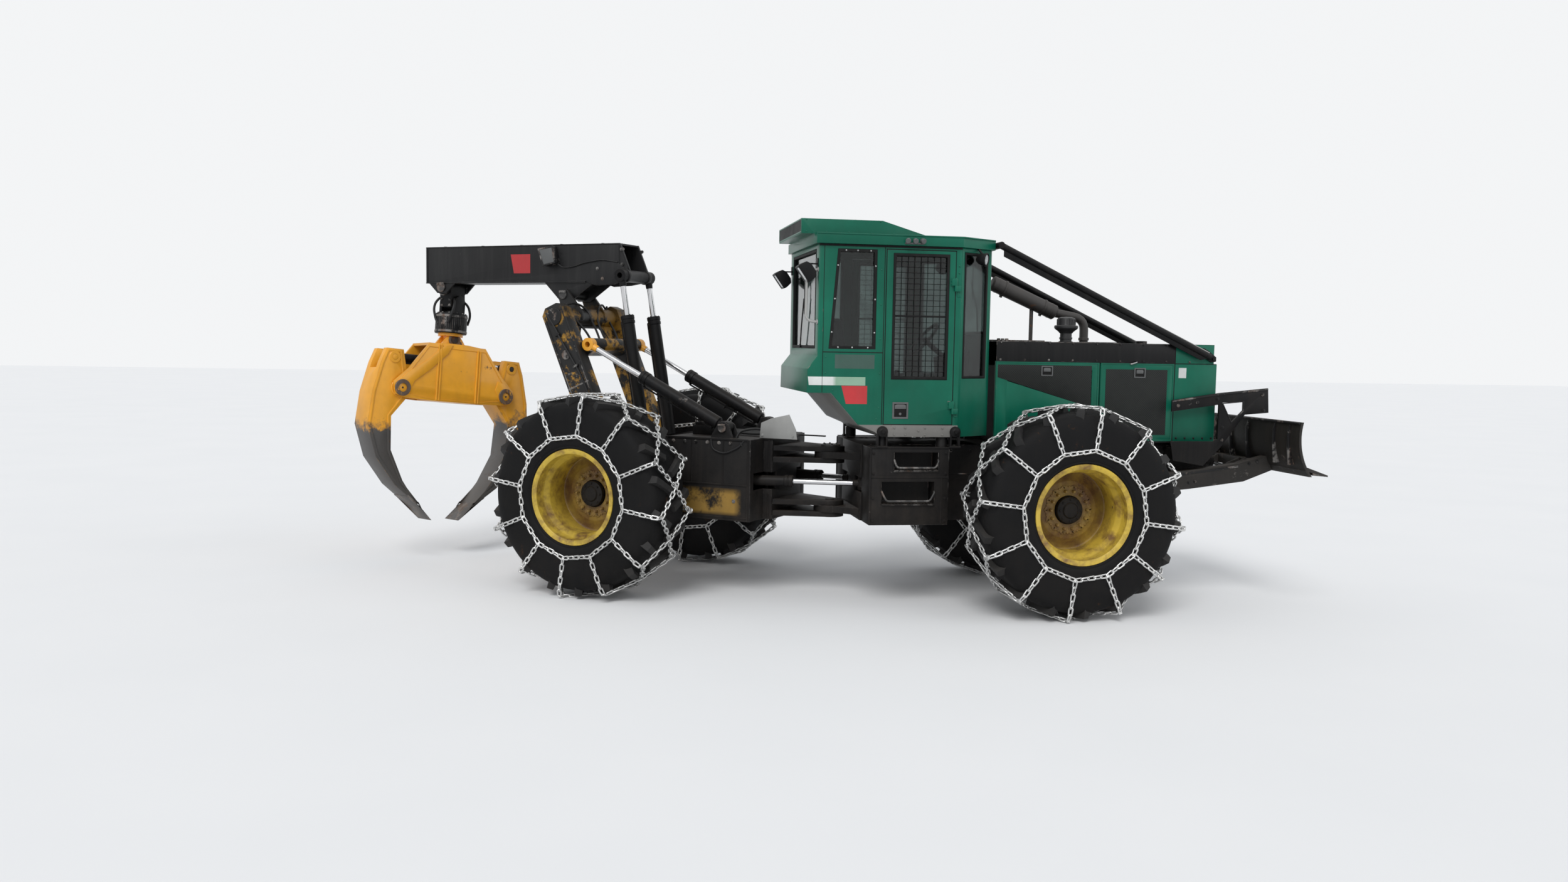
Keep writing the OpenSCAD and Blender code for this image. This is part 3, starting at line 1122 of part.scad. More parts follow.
// A tong, its pivot at the origin and its tip toward +X
TONG_BACK = [[-170, 395], [-225, 250], [-300, -60], [-330, -400], [-215, -730], [10, -1010], [300, -1230],
    [445, -1370]];
TONG_FRONT = [[250, -1180], [90, -960], [-60, -650], [-80, -300], [110, -60], [70, 120], [10, 395]];
module tong() difference() {
    union() {
        plate(0, tong_w) polygon(concat(TONG_BACK, TONG_FRONT));
        cross_bar(105, -tong_w/2, tong_w/2);
    }
    cross_bar(tong_pin_r + fit, -tong_w, tong_w);
    // Slot for the cylinder's eye
    block([-260, -ram_slot, 190], [90, ram_slot, 420]);
}
// The right tong holds the pin of the ram's barrel
module tong_right() color([0.85, 0.55, 0.1]) turned() translate([-tong_x, 0, pivot_drop]) {
    tong();
    translate([tong_x - ram_x, 0, ram_z - pivot_drop]) cross_bar(ram_pin_r, -tong_w/2 - 10, tong_w/2 + 10);
}
module tong_left() color([0.85, 0.55, 0.1]) turned() translate([tong_x, 0, pivot_drop]) mirror([1, 0, 0]) tong();
module grapple_barrel() color([0.08, 0.08, 0.08]) turned() translate([-ram_x, 0, ram_z])
    barrel(len = 750, bore = 640, r = ram_r, rod = ram_rod_r, eye = 56, pin = ram_pin_r, w = 2*ram_slot - 2*seat);
module grapple_rod() color([0.7, 0.68, 0.65]) turned() translate([-ram_x, 0, ram_z])
    rod(612, 2*ram_x, rod = ram_rod_r, eye = 56, w = 2*ram_slot - 2*seat);

front_frame();
front_axle();
engine();
hood();
hood_panels();
radiator_box();
limb_risers();
side_box_right();
side_box_left();
exhaust();
precleaner();
cab_floor();
cab_side_right();
cab_side_left();
cab_front();
cab_rear();
cab_roof();
cab_glass();
seat();
dash_console();
work_lights();
door_right();
door_left();
door_glass_right();
door_glass_left();
rim_front_right();
rim_front_left();
rim_rear_right();
rim_rear_left();
tyre_front_right();
tyre_front_left();
tyre_rear_right();
tyre_rear_left();
chain_front_right();
chain_front_left();
chain_rear_right();
chain_rear_left();
blade();
blade_barrels();
blade_rods();
steer_barrel_right();
steer_barrel_left();
steer_rod_right();
steer_rod_left();
rear_frame();
rear_axle();
arch();
arch_barrels();
arch_rods();
boom();
boom_barrels();
boom_rods();
grapple_hanger();
grapple_rotator();
grapple_head();
tong_right();
tong_left();
grapple_barrel();
grapple_rod();
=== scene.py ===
import json
from math import atan2, cos, hypot, pi, radians, sin
import bpy
from mathutils import Matrix, Vector

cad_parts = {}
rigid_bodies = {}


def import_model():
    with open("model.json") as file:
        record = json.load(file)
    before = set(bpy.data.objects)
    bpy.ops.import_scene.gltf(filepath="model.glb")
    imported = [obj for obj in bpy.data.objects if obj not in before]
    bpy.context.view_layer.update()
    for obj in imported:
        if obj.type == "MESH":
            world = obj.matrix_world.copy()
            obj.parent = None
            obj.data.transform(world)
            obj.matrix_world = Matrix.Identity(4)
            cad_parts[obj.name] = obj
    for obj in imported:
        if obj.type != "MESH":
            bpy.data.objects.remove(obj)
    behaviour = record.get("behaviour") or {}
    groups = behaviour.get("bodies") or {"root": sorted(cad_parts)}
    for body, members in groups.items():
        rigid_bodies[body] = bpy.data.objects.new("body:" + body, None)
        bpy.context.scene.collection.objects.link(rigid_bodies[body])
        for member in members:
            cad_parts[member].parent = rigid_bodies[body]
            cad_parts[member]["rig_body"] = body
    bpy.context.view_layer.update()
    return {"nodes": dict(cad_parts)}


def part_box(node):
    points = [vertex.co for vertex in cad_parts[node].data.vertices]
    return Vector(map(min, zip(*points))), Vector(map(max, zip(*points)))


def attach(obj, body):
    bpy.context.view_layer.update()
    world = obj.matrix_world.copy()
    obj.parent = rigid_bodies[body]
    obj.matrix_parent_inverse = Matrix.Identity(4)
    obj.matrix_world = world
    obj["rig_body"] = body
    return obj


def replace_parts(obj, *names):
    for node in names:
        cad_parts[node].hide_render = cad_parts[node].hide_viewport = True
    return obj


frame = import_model()
cad = frame["nodes"]

# Lengths below are in millimetres, in the front or rear frame's own axes: forward, left, up
MM = 0.001
TOUCHING = 0.00002
PIVOT = (0.135, -0.820, 0)
ARTICULATION = radians(-34.6)
FRONT = Matrix.Translation(PIVOT)
REAR = FRONT @ Matrix.Rotation(ARTICULATION, 4, "Z")
MIRROR = Matrix.Diagonal((1, -1, 1, 1))
SAME = Matrix.Identity(4)
ARCH_LEAN, GRAPPLE_ROLL, GRAPPLE_TURN = 23.4, -6, 68
ARCH = REAR @ Matrix.Translation((-2.160, 0, 1.260)) @ Matrix.Rotation(radians(-ARCH_LEAN), 4, "Y")
ROLLED = Matrix.Rotation(radians(GRAPPLE_ROLL), 4, "X")
TURNED = REAR @ Matrix.Translation((-4.450, 0, 2.720)) @ ROLLED @ Matrix.Rotation(radians(GRAPPLE_TURN), 4, "Z")


def shift(x, y, z):
    return Matrix.Translation(Vector((x, y, z))*MM)


def angles(count, start=0):
    """Angles evenly round a circle, in radians."""
    return [2*pi*(i + start)/count for i in range(count)]


def put(tree, kind, **values):
    node = tree.nodes.new("ShaderNode" + kind)
    for key, value in values.items():
        setattr(node, key, value)
    return node


def maths(tree, operation, a, b, clamp=False):
    node = put(tree, "Math", operation=operation, use_clamp=clamp)
    for socket, value in zip(node.inputs, (a, b)):
        if isinstance(value, (int, float)):
            socket.default_value = value
        elif value is not None:
            tree.links.new(value, socket)
    return node.outputs[0]


# Camera and light
def set_camera():
    """The camera that was fitted to the rims and tyres in the photograph."""
    at, focal_length, film_width = Vector((-2.185, -11.92, 2.335)), 28, 36
    yaw, pitch, roll = radians(9.6), radians(4.5), radians(1.0)
    forward = Vector((sin(yaw)*cos(pitch), cos(yaw)*cos(pitch), -sin(pitch)))
    right = Vector((cos(yaw), -sin(yaw), 0))
    up = right.cross(forward)
    across = right*cos(roll) + up*sin(roll)
    above = up*cos(roll) - right*sin(roll)
    data = bpy.data.cameras.new("photo_camera")
    data.lens = focal_length
    data.sensor_width = film_width
    data.clip_end = 200
    camera = bpy.data.objects.new("photo_camera", data)
    columns = (across, above, -forward, at)
    camera.matrix_world = Matrix([[c[i] for c in columns] for i in range(3)] + [[0, 0, 0, 1]])
    bpy.context.scene.collection.objects.link(camera)
    bpy.context.scene.camera = camera


def set_light():
    """A pale sky that is a little dimmer as a light than as it is seen, and two soft suns."""
    world = bpy.data.worlds.new("studio")
    bpy.context.scene.world = world
    world.use_nodes = True
    tree = world.node_tree
    tree.nodes.clear()
    rays = put(tree, "LightPath").outputs
    seen = maths(tree, "MAXIMUM", rays["Is Camera Ray"], rays["Is Transmission Ray"])
    mix = put(tree, "MixShader")
    tree.links.new(maths(tree, "MAXIMUM", seen, rays["Is Glossy Ray"]), mix.inputs[0])
    for socket, colour, strength in ((1, (0.93, 0.96, 1.0), 0.62), (2, (0.90, 0.91, 0.92), 1.0)):
        ground = put(tree, "Background")
        ground.inputs["Color"].default_value = (*colour, 1)
        ground.inputs["Strength"].default_value = strength
        tree.links.new(ground.outputs[0], mix.inputs[socket])
    tree.links.new(mix.outputs[0], put(tree, "OutputWorld").inputs[0])
    for name, toward, strength, spread in [("sky_window", (0.35, 0.75, -0.85), 1.7, 30),
            ("side_window", (-0.8, 0.5, -0.35), 0.5, 50)]:
        lamp = bpy.data.lights.new(name, "SUN")
        lamp.energy = strength
        lamp.angle = radians(spread)
        obj = bpy.data.objects.new(name, lamp)
        obj.matrix_world = Vector(toward).to_track_quat("-Z", "Y").to_matrix().to_4x4()
        bpy.context.scene.collection.objects.link(obj)


bpy.context.scene.view_settings.view_transform = "Standard"
set_camera()
set_light()


# Finishes
SOCKETS = {"shine": "Specular IOR Level", "rough": "Roughness", "coat": "Coat Weight",
    "through": "Transmission Weight", "bending": "IOR", "sheen": "Sheen Weight"}


def new_finish(name, **constants):
    """A new finish, its node tree and its shader, with the shader's constants set."""
    finish = bpy.data.materials.new(name)
    finish.use_nodes = True
    shader = finish.node_tree.nodes["Principled BSDF"]
    for key, value in constants.items():
        shader.inputs[SOCKETS[key]].default_value = value
    return finish, finish.node_tree, shader


def ramp(tree, value, start, end, low=0.0, high=1.0):
    node = put(tree, "MapRange")
    tree.links.new(value, node.inputs["Value"])
    for socket, number in zip(("From Min", "From Max", "To Min", "To Max"), (start, end, low, high)):
        if isinstance(number, (int, float)):
            node.inputs[socket].default_value = number
        else:
            tree.links.new(number, node.inputs[socket])
    return node.outputs["Result"]


def noise(tree, vector, scale, detail=4.0, rough=0.55):
    node = put(tree, "TexNoise")
    tree.links.new(vector, node.inputs["Vector"])
    if isinstance(scale, (int, float)):
        node.inputs["Scale"].default_value = scale
    else:
        tree.links.new(scale, node.inputs["Scale"])
    node.inputs["Detail"].default_value = detail
    node.inputs["Roughness"].default_value = rough
    return node.outputs["Fac"]


def mixed(tree, factor, a, b):
    node = put(tree, "Mix", data_type="RGBA")
    tree.links.new(factor, node.inputs[0])
    for socket, colour in ((node.inputs[6], a), (node.inputs[7], b)):
        if isinstance(colour, tuple):
            socket.default_value = (*colour, 1)
        else:
            tree.links.new(colour, socket)
    return node.outputs[2]


def weather_group():
    """Forest wear: where paint is chipped, where dust and mud lie, how the tone drifts, and the fine relief."""
    group = bpy.data.node_groups.new("forest_wear", "ShaderNodeTree")
    for name, value in (("Chips", 0.3), ("Mud", 0.5), ("Mud Height", 1.4), ("Grain", 60.0)):
        socket = group.interface.new_socket(name, in_out="INPUT", socket_type="NodeSocketFloat")
        socket.default_value = value
    for name in ("Chipped", "Muddy", "Tone", "Relief", "Streaks"):
        group.interface.new_socket(name, in_out="OUTPUT", socket_type="NodeSocketFloat")
    given = group.nodes.new("NodeGroupInput")
    result = group.nodes.new("NodeGroupOutput")
    place = put(group, "TexCoord").outputs["Object"]
    normal = put(group, "NewGeometry").outputs["Normal"]
    chips = noise(group, place, 9.0, 9.0, 0.72)
    patches = noise(group, place, 1.6, 5.0, 0.6)
    rub = maths(group, "ADD", maths(group, "MULTIPLY", chips, 0.62), maths(group, "MULTIPLY", patches, 0.38))
    edge = maths(group, "SUBTRACT", 0.74, maths(group, "MULTIPLY", given.outputs["Chips"], 0.38))
    group.links.new(ramp(group, rub, edge, maths(group, "ADD", edge, 0.045)), result.inputs["Chipped"])
    runs = put(group, "Mapping")
    runs.inputs["Scale"].default_value = (16, 16, 1.1)
    group.links.new(place, runs.inputs["Vector"])
    streaks = ramp(group, noise(group, runs.outputs[0], 1.0, 5.0, 0.6), 0.46, 0.74)
    group.links.new(streaks, result.inputs["Streaks"])
    apart = put(group, "SeparateXYZ")
    group.links.new(place, apart.inputs[0])
    turned_up = put(group, "SeparateXYZ")
    group.links.new(normal, turned_up.inputs[0])
    splash = ramp(group, noise(group, place, 4.0, 8.0, 0.68), 0.36, 0.72)
    low = ramp(group, apart.outputs["Z"], given.outputs["Mud Height"], 0.3)
    settled = ramp(group, turned_up.outputs["Z"], 0.35, 0.95, 0.0, 0.6)
    lies = maths(group, "ADD", maths(group, "MULTIPLY", low, 0.8), settled)
    film = maths(group, "MULTIPLY", maths(group, "ADD", maths(group, "MULTIPLY", splash, 0.85), 0.15), lies)
    dusty = maths(group, "ADD", film, maths(group, "MULTIPLY", streaks, 0.16))
    group.links.new(maths(group, "MULTIPLY", dusty, given.outputs["Mud"], True), result.inputs["Muddy"])
    group.links.new(ramp(group, patches, 0.25, 0.75, 0.72, 1.22), result.inputs["Tone"])
    fine = noise(group, place, given.outputs["Grain"], 5.0, 0.6)
    dents = noise(group, place, 3.2, 2.0, 0.5)
    group.links.new(maths(group, "ADD", maths(group, "MULTIPLY", fine, 0.25), dents), result.inputs["Relief"])
    return group


WEAR = weather_group()
RUST = (0.11, 0.045, 0.016)
MUD = (0.085, 0.068, 0.054)
DUST = (0.17, 0.165, 0.155)
STEEL = (0.20, 0.19, 0.18)


def weathered(name, paint, under=STEEL, chips=0.3, mud=0.5, height=1.6, soil=MUD, rough=0.4, metal=0.0,
        coat=0.0, grain=60.0, relief=0.006, tint=None, under_metal=0.5, shine=0.5):
    """A finish with forest wear: paint over steel, with mud near the ground and dust on what faces up.
    tint(tree, place) may give the paint's colour where it changes over the piece."""
    finish, tree, shader = new_finish(name, shine=shine)
    link = tree.links.new
    wear = tree.nodes.new("ShaderNodeGroup")
    wear.node_tree = WEAR
    for key, value in (("Chips", chips), ("Mud", mud), ("Mud Height", height), ("Grain", grain)):
        wear.inputs[key].default_value = value
    colour = paint
    if tint:
        colour = tint(tree, object_place(tree))
    toned = put(tree, "Mix", data_type="RGBA", blend_type="MULTIPLY")
    toned.inputs[0].default_value = 1.0
    if isinstance(colour, tuple):
        toned.inputs[6].default_value = (*colour, 1)
    else:
        link(colour, toned.inputs[6])
    link(wear.outputs["Tone"], toned.inputs[7])
    rusty = mixed(tree, wear.outputs["Streaks"], under, RUST)
    worn = mixed(tree, wear.outputs["Chipped"], toned.outputs[2], rusty)
    link(mixed(tree, wear.outputs["Muddy"], worn, soil), shader.inputs["Base Color"])
    gloss = ramp(tree, wear.outputs["Muddy"], 0.0, 1.0, rough, 0.92)
    chipped = maths(tree, "MULTIPLY", wear.outputs["Chipped"], 0.18)
    link(maths(tree, "ADD", gloss, chipped, True), shader.inputs["Roughness"])
    if under_metal and not metal:
        bare = maths(tree, "MULTIPLY", wear.outputs["Chipped"], under_metal)
        clean = maths(tree, "SUBTRACT", 1.0, wear.outputs["Muddy"])
        link(maths(tree, "MULTIPLY", bare, clean, True), shader.inputs["Metallic"])
    else:
        shader.inputs["Metallic"].default_value = metal
    if coat:
        link(ramp(tree, wear.outputs["Muddy"], 0.0, 0.7, coat, 0.0), shader.inputs["Coat Weight"])
        shader.inputs["Coat Roughness"].default_value = 0.12
    bumped(tree, shader, wear.outputs["Relief"], relief, 0.5)
    return finish


def rear_axes(tree, place):
    """The rear frame's own axes, from the object's."""
    turn = put(tree, "Mapping", vector_type="TEXTURE")
    turn.inputs["Location"].default_value = PIVOT
    turn.inputs["Rotation"].default_value = (0, 0, ARTICULATION)
    tree.links.new(place, turn.inputs["Vector"])
    return turn.outputs[0]


def object_place(tree):
    return put(tree, "TexCoord").outputs["Object"]


def bumped(tree, shader, height, distance, strength=1.0):
    bump = put(tree, "Bump")
    bump.inputs["Distance"].default_value = distance
    bump.inputs["Strength"].default_value = strength
    tree.links.new(height, bump.inputs["Height"])
    tree.links.new(bump.outputs[0], shader.inputs["Normal"])


def split(tree, vector):
    node = put(tree, "SeparateXYZ")
    tree.links.new(vector, node.inputs[0])
    return node.outputs


GREEN = (0.003, 0.105, 0.063)
BLACK = (0.006, 0.006, 0.0065)
AMBER = (0.76, 0.34, 0.018)
YELLOW = (0.60, 0.42, 0.045)


def hood_tint(tree, place):
    """The hood's band is black, and its front end is green."""
    along = split(tree, place)["X"]
    front_end = maths(tree, "GREATER_THAN", along, PIVOT[0] + 3.15)
    return mixed(tree, front_end, BLACK, GREEN)


def arch_tint(tree, place):
    """Black paint rubbed through to old yellow on the legs."""
    up = split(tree, place)["Z"]
    rubbed = ramp(tree, noise(tree, place, 3.6, 9.0, 0.7), 0.50, 0.57)
    low = ramp(tree, up, 2.75, 2.45)
    return mixed(tree, maths(tree, "MULTIPLY", rubbed, low), (0.012, 0.012, 0.012), (0.42, 0.22, 0.03))


def rear_tint(tree, place):
    """The side plate's lower strip is rubbed through to old yellow."""
    axes = split(tree, rear_axes(tree, place))
    band = maths(tree, "MULTIPLY", ramp(tree, axes["Z"], 0.76, 0.80), ramp(tree, axes["Z"], 1.02, 0.96))
    outside = ramp(tree, maths(tree, "ABSOLUTE", axes["Y"], None), 0.585, 0.595)
    ahead = ramp(tree, axes["X"], -1.75, -1.6)
    behind = ramp(tree, axes["X"], -0.62, -0.70)
    strip = maths(tree, "MULTIPLY", maths(tree, "MULTIPLY", band, outside),
        maths(tree, "MULTIPLY", ahead, behind))
    rubbed = ramp(tree, noise(tree, place, 5.5, 8.0, 0.7), 0.38, 0.50)
    return mixed(tree, maths(tree, "MULTIPLY", strip, rubbed), BLACK, (0.27, 0.16, 0.035))


def tong_tint(tree, place):
    """Amber at the top and bare dark steel from the middle down, where the logs rub."""
    up = split(tree, place)["Z"]
    wander = ramp(tree, noise(tree, place, 5.0, 7.0, 0.7), 0.3, 0.7, -0.16, 0.16)
    bare = ramp(tree, maths(tree, "ADD", up, wander), 1.50, 1.38)
    return mixed(tree, bare, AMBER, (0.055, 0.052, 0.050))


def stripe_tint(tree, place):
    """A white stripe that has faded to green toward the front."""
    along_cab = split(tree, place)["X"]
    fade = ramp(tree, along_cab, PIVOT[0] - 0.145, PIVOT[0] - 0.110)
    return mixed(tree, fade, (0.62, 0.64, 0.62), (0.22, 0.36, 0.26))


def rim_tint(tree, place):
    """Old yellow paint with rust that has run in the dish."""
    patchy = ramp(tree, noise(tree, place, 6.0, 8.0, 0.68), 0.44, 0.66)
    return mixed(tree, patchy, YELLOW, (0.17, 0.088, 0.022))


def dish_tint(tree, place):
    """Most of the dish's old yellow has gone brown with rust."""
    patchy = ramp(tree, noise(tree, place, 4.5, 8.0, 0.68), 0.34, 0.62)
    return mixed(tree, patchy, (0.34, 0.22, 0.035), (0.13, 0.062, 0.018))


green_paint = weathered("green_paint", GREEN, chips=0.10, mud=0.12, height=1.9, soil=DUST, rough=0.34,
    relief=0.003, shine=0.22)
green_edge = weathered("green_worn_edge", GREEN, chips=0.40, mud=0.12, height=1.9, soil=DUST, rough=0.35,
    relief=0.003, shine=0.25)
hood_paint = weathered("hood_paint", BLACK, chips=0.12, mud=0.16, height=1.9, soil=DUST, rough=0.33,
    tint=hood_tint, relief=0.003, shine=0.2)
black_paint = weathered("black_paint", BLACK, chips=0.28, mud=0.42, height=1.7, rough=0.46, shine=0.15)
black_edge = weathered("black_worn_edge", BLACK, chips=0.62, mud=0.35, height=1.2, rough=0.42, shine=0.3)
boom_paint = weathered("boom_paint", (0.008, 0.008, 0.0085), chips=0.20, mud=0.30, height=1.0, soil=DUST,
    rough=0.42, shine=0.25)
arch_paint = weathered("arch_paint", BLACK, chips=0.32, mud=0.4, height=1.5, rough=0.48, tint=arch_tint,
    shine=0.25)
rear_paint = weathered("rear_frame_paint", BLACK, chips=0.30, mud=0.42, height=1.7, rough=0.48, tint=rear_tint,
    shine=0.15)
blade_steel = weathered("blade_paint", (0.012, 0.011, 0.010), under=(0.13, 0.12, 0.11), chips=0.45, mud=0.5,
    height=2.0, rough=0.45, shine=0.3)
rim_paint = weathered("rim_paint", YELLOW, under=(0.10, 0.05, 0.02), chips=0.32, mud=0.38, height=1.5,
    soil=(0.11, 0.075, 0.04), rough=0.48, tint=rim_tint, under_metal=0.0)
dish_paint = weathered("rim_dish_paint", YELLOW, under=(0.08, 0.04, 0.018), chips=0.42, mud=0.5, height=1.9,
    soil=(0.10, 0.065, 0.035), rough=0.5, tint=dish_tint, under_metal=0.0)
amber_paint = weathered("grapple_paint", AMBER, under=(0.10, 0.06, 0.03), chips=0.34, mud=0.35, height=1.9,
    soil=(0.20, 0.13, 0.06), rough=0.38, coat=0.2, under_metal=0.2)
amber_edge = weathered("grapple_worn_edge", AMBER, under=(0.13, 0.10, 0.08), chips=0.8, mud=0.3, height=1.9,
    rough=0.42, under_metal=0.5)
tong_paint = weathered("tong_paint", AMBER, under=(0.08, 0.06, 0.045), chips=0.36, mud=0.35, height=1.8,
    soil=(0.13, 0.10, 0.07), rough=0.42, tint=tong_tint, under_metal=0.3)
chrome = weathered("rod_chrome", (0.62, 0.62, 0.63), chips=0.05, mud=0.25, height=1.4, rough=0.16, metal=0.95,
    relief=0.0008)
chain_steel = weathered("chain_steel", (0.66, 0.66, 0.65), under=(0.30, 0.25, 0.20), chips=0.22, mud=0.2,
    height=1.2, rough=0.30, metal=0.8, grain=90.0, relief=0.002)
rubber = weathered("tyre_rubber", (0.006, 0.006, 0.0065), under=(0.011, 0.0105, 0.010), chips=0.4, mud=0.26,
    height=1.9, soil=(0.030, 0.026, 0.022), rough=0.66, grain=40.0, under_metal=0.0, shine=0.12)
# The lugs' rubber is a lighter copy of the tyre's rubber: dust on the lugs, and a painted highlight that brings
# out the tread
lug_rubber = weathered("lug_rubber", (0.014, 0.014, 0.0145), under=(0.030, 0.029, 0.028), chips=0.25, mud=0.5,
    height=2.1, soil=(0.050, 0.044, 0.038), rough=0.6, grain=40.0, under_metal=0.0, shine=0.25)
seal_rubber = weathered("window_seal", (0.006, 0.006, 0.006), chips=0.1, mud=0.25, height=1.5, soil=DUST,
    rough=0.7, under_metal=0.0, shine=0.2)
engine_iron = weathered("engine_iron", (0.045, 0.045, 0.045), chips=0.3, mud=0.6, height=2.4, rough=0.55,
    shine=0.3)
exhaust_metal = weathered("exhaust_metal", (0.030, 0.027, 0.025), under=RUST, chips=0.5, mud=0.35, height=1.0,
    soil=(0.10, 0.075, 0.06), rough=0.55, under_metal=0.1)
cleaner_plastic = weathered("cleaner_plastic", (0.016, 0.016, 0.017), chips=0.05, mud=0.4, height=1.0,
    soil=DUST, rough=0.45, under_metal=0.0)
dash_plastic = weathered("dash_plastic", (0.028, 0.028, 0.029), chips=0.05, mud=0.3, height=0.5, soil=DUST,
    rough=0.6, grain=260.0, under_metal=0.0)
grey_sill = weathered("grey_sill", (0.16, 0.155, 0.145), chips=0.35, mud=0.5, height=1.9, rough=0.5)
red_patch = weathered("red_patch", (0.42, 0.022, 0.025), chips=0.22, mud=0.3, height=1.0, soil=DUST, rough=0.45)
white_stripe = weathered("white_stripe", (0.60, 0.62, 0.60), under=GREEN, chips=0.25, mud=0.15, height=1.0,
    soil=DUST, rough=0.4, tint=stripe_tint, under_metal=0.0)


def glass_finish():
    finish, tree, shader = new_finish("window_glass", through=1.0, bending=1.45)
    place = object_place(tree)
    film = ramp(tree, noise(tree, place, 3.0, 8.0, 0.7), 0.42, 0.75)
    tree.links.new(mixed(tree, film, (0.25, 0.30, 0.29), (0.16, 0.18, 0.18)), shader.inputs["Base Color"])
    tree.links.new(ramp(tree, film, 0.0, 1.0, 0.03, 0.16), shader.inputs["Roughness"])
    return finish


def lens_finish():
    finish, tree, shader = new_finish("lamp_lens", rough=0.12, coat=0.6)
    place = object_place(tree)
    ribs = put(tree, "TexWave", wave_type="BANDS", bands_direction="Z")
    ribs.inputs["Scale"].default_value = 34.0
    tree.links.new(place, ribs.inputs["Vector"])
    tree.links.new(mixed(tree, ribs.outputs["Fac"], (0.42, 0.44, 0.45), (0.66, 0.68, 0.68)),
        shader.inputs["Base Color"])
    bumped(tree, shader, ribs.outputs["Fac"], 0.003)
    return finish


def seat_finish():
    finish, tree, shader = new_finish("seat_fabric", rough=0.85, sheen=0.3)
    place = object_place(tree)
    ribs = put(tree, "TexWave", wave_type="BANDS", bands_direction="Y")
    ribs.inputs["Scale"].default_value = 14.0
    tree.links.new(place, ribs.inputs["Vector"])
    weave = put(tree, "TexVoronoi")
    weave.inputs["Scale"].default_value = 300.0
    tree.links.new(place, weave.inputs["Vector"])
    tone = maths(tree, "MULTIPLY", ribs.outputs["Fac"], 0.5)
    both = maths(tree, "ADD", tone, maths(tree, "MULTIPLY", weave.outputs["Distance"], 0.6), True)
    tree.links.new(mixed(tree, both, (0.035, 0.036, 0.038), (0.10, 0.10, 0.105)), shader.inputs["Base Color"])
    bumped(tree, shader, both, 0.002)
    return finish


def floor_finish():
    finish, tree, shader = new_finish("studio_floor", rough=0.9)
    place = object_place(tree)
    tone = noise(tree, place, 0.6, 3.0, 0.5)
    tree.links.new(mixed(tree, tone, (0.78, 0.785, 0.79), (0.82, 0.82, 0.82)), shader.inputs["Base Color"])
    return finish


bright_steel = weathered("bright_steel", (0.42, 0.42, 0.42), chips=0.15, mud=0.3, height=1.0, soil=DUST,
    rough=0.32, metal=0.8, relief=0.001)
latch_grey = weathered("latch_grey", (0.085, 0.088, 0.088), chips=0.25, mud=0.3, height=1.0, soil=DUST,
    rough=0.5, under_metal=0.2)
dusty_edge = weathered("rubbed_black_paint", (0.030, 0.029, 0.028), chips=0.6, mud=0.4, height=1.2, soil=DUST,
    rough=0.42)
guard_grey = weathered("guard_plate_grey", (0.30, 0.30, 0.29), chips=0.3, mud=0.35, height=1.0, rough=0.5,
    metal=0.3)
hose_rubber = weathered("hose_rubber", (0.008, 0.008, 0.0085), under=(0.03, 0.03, 0.03), chips=0.3, mud=0.35,
    height=1.2, soil=DUST, rough=0.55, grain=160.0, under_metal=0.0, shine=0.3)
dark_bore = weathered("dark_bore", (0.018, 0.014, 0.011), under=RUST, chips=0.5, mud=0.3, height=1.0, rough=0.6,
    under_metal=0.2)
worn_steel = weathered("worn_steel", (0.085, 0.080, 0.076), under=(0.22, 0.20, 0.18), chips=0.6, mud=0.4,
    height=1.4, rough=0.40, metal=0.6)
blank_white = weathered("blank_label", (0.55, 0.56, 0.55), under=(0.2, 0.2, 0.2), chips=0.2, mud=0.4,
    height=1.0, soil=DUST, rough=0.5, under_metal=0.0)
old_band = weathered("old_band", (0.030, 0.075, 0.058), under=GREEN, chips=0.35, mud=0.4, height=1.0, soil=DUST,
    rough=0.5, under_metal=0.0)


def mesh_finish():
    """A fine black mesh with dust caught in it, its openings painted near black as painted shade behind them.
    """
    finish, tree, shader = new_finish("black_mesh", shine=0.25)
    place = object_place(tree)
    grid = put(tree, "TexChecker")
    grid.inputs["Scale"].default_value = 95.0
    tree.links.new(place, grid.inputs["Vector"])
    dust = ramp(tree, noise(tree, place, 2.6, 8.0, 0.7), 0.38, 0.75, 0.0, 0.55)
    # The openings are painted near black: painted shade seen through the mesh
    holes = mixed(tree, grid.outputs["Fac"], (0.003, 0.003, 0.003), (0.014, 0.017, 0.016))
    tree.links.new(mixed(tree, dust, holes, (0.034, 0.036, 0.033)), shader.inputs["Base Color"])
    tree.links.new(ramp(tree, dust, 0.0, 0.6, 0.55, 0.85), shader.inputs["Roughness"])
    bumped(tree, shader, grid.outputs["Fac"], 0.002)
    return finish


mesh_black = mesh_finish()
window_glass = glass_finish()
lamp_lens = lens_finish()
seat_fabric = seat_finish()


# Ways of making pieces
def deselect():
    if bpy.context.mode != "OBJECT":
        bpy.ops.object.mode_set(mode="OBJECT")
    bpy.ops.object.select_all(action="DESELECT")


def only(obj):
    """Selects one object alone."""
    deselect()
    obj.select_set(True)
    bpy.context.view_layer.objects.active = obj


def edit(obj):
    """Opens an object for editing, all its points selected."""
    only(obj)
    bpy.ops.object.mode_set(mode="EDIT")
    bpy.ops.mesh.select_mode(type="VERT")
    bpy.ops.mesh.select_all(action="SELECT")


def done(angle=35):
    """Ends the editing and smooths what bends less than the angle."""
    bpy.ops.object.mode_set(mode="OBJECT")
    bpy.ops.object.shade_smooth_by_angle(angle=radians(angle))


def closed():
    """Merges points that touch and turns all faces outward."""
    bpy.ops.mesh.select_all(action="SELECT")
    bpy.ops.mesh.remove_doubles(threshold=TOUCHING)
    bpy.ops.mesh.normals_make_consistent(inside=False)


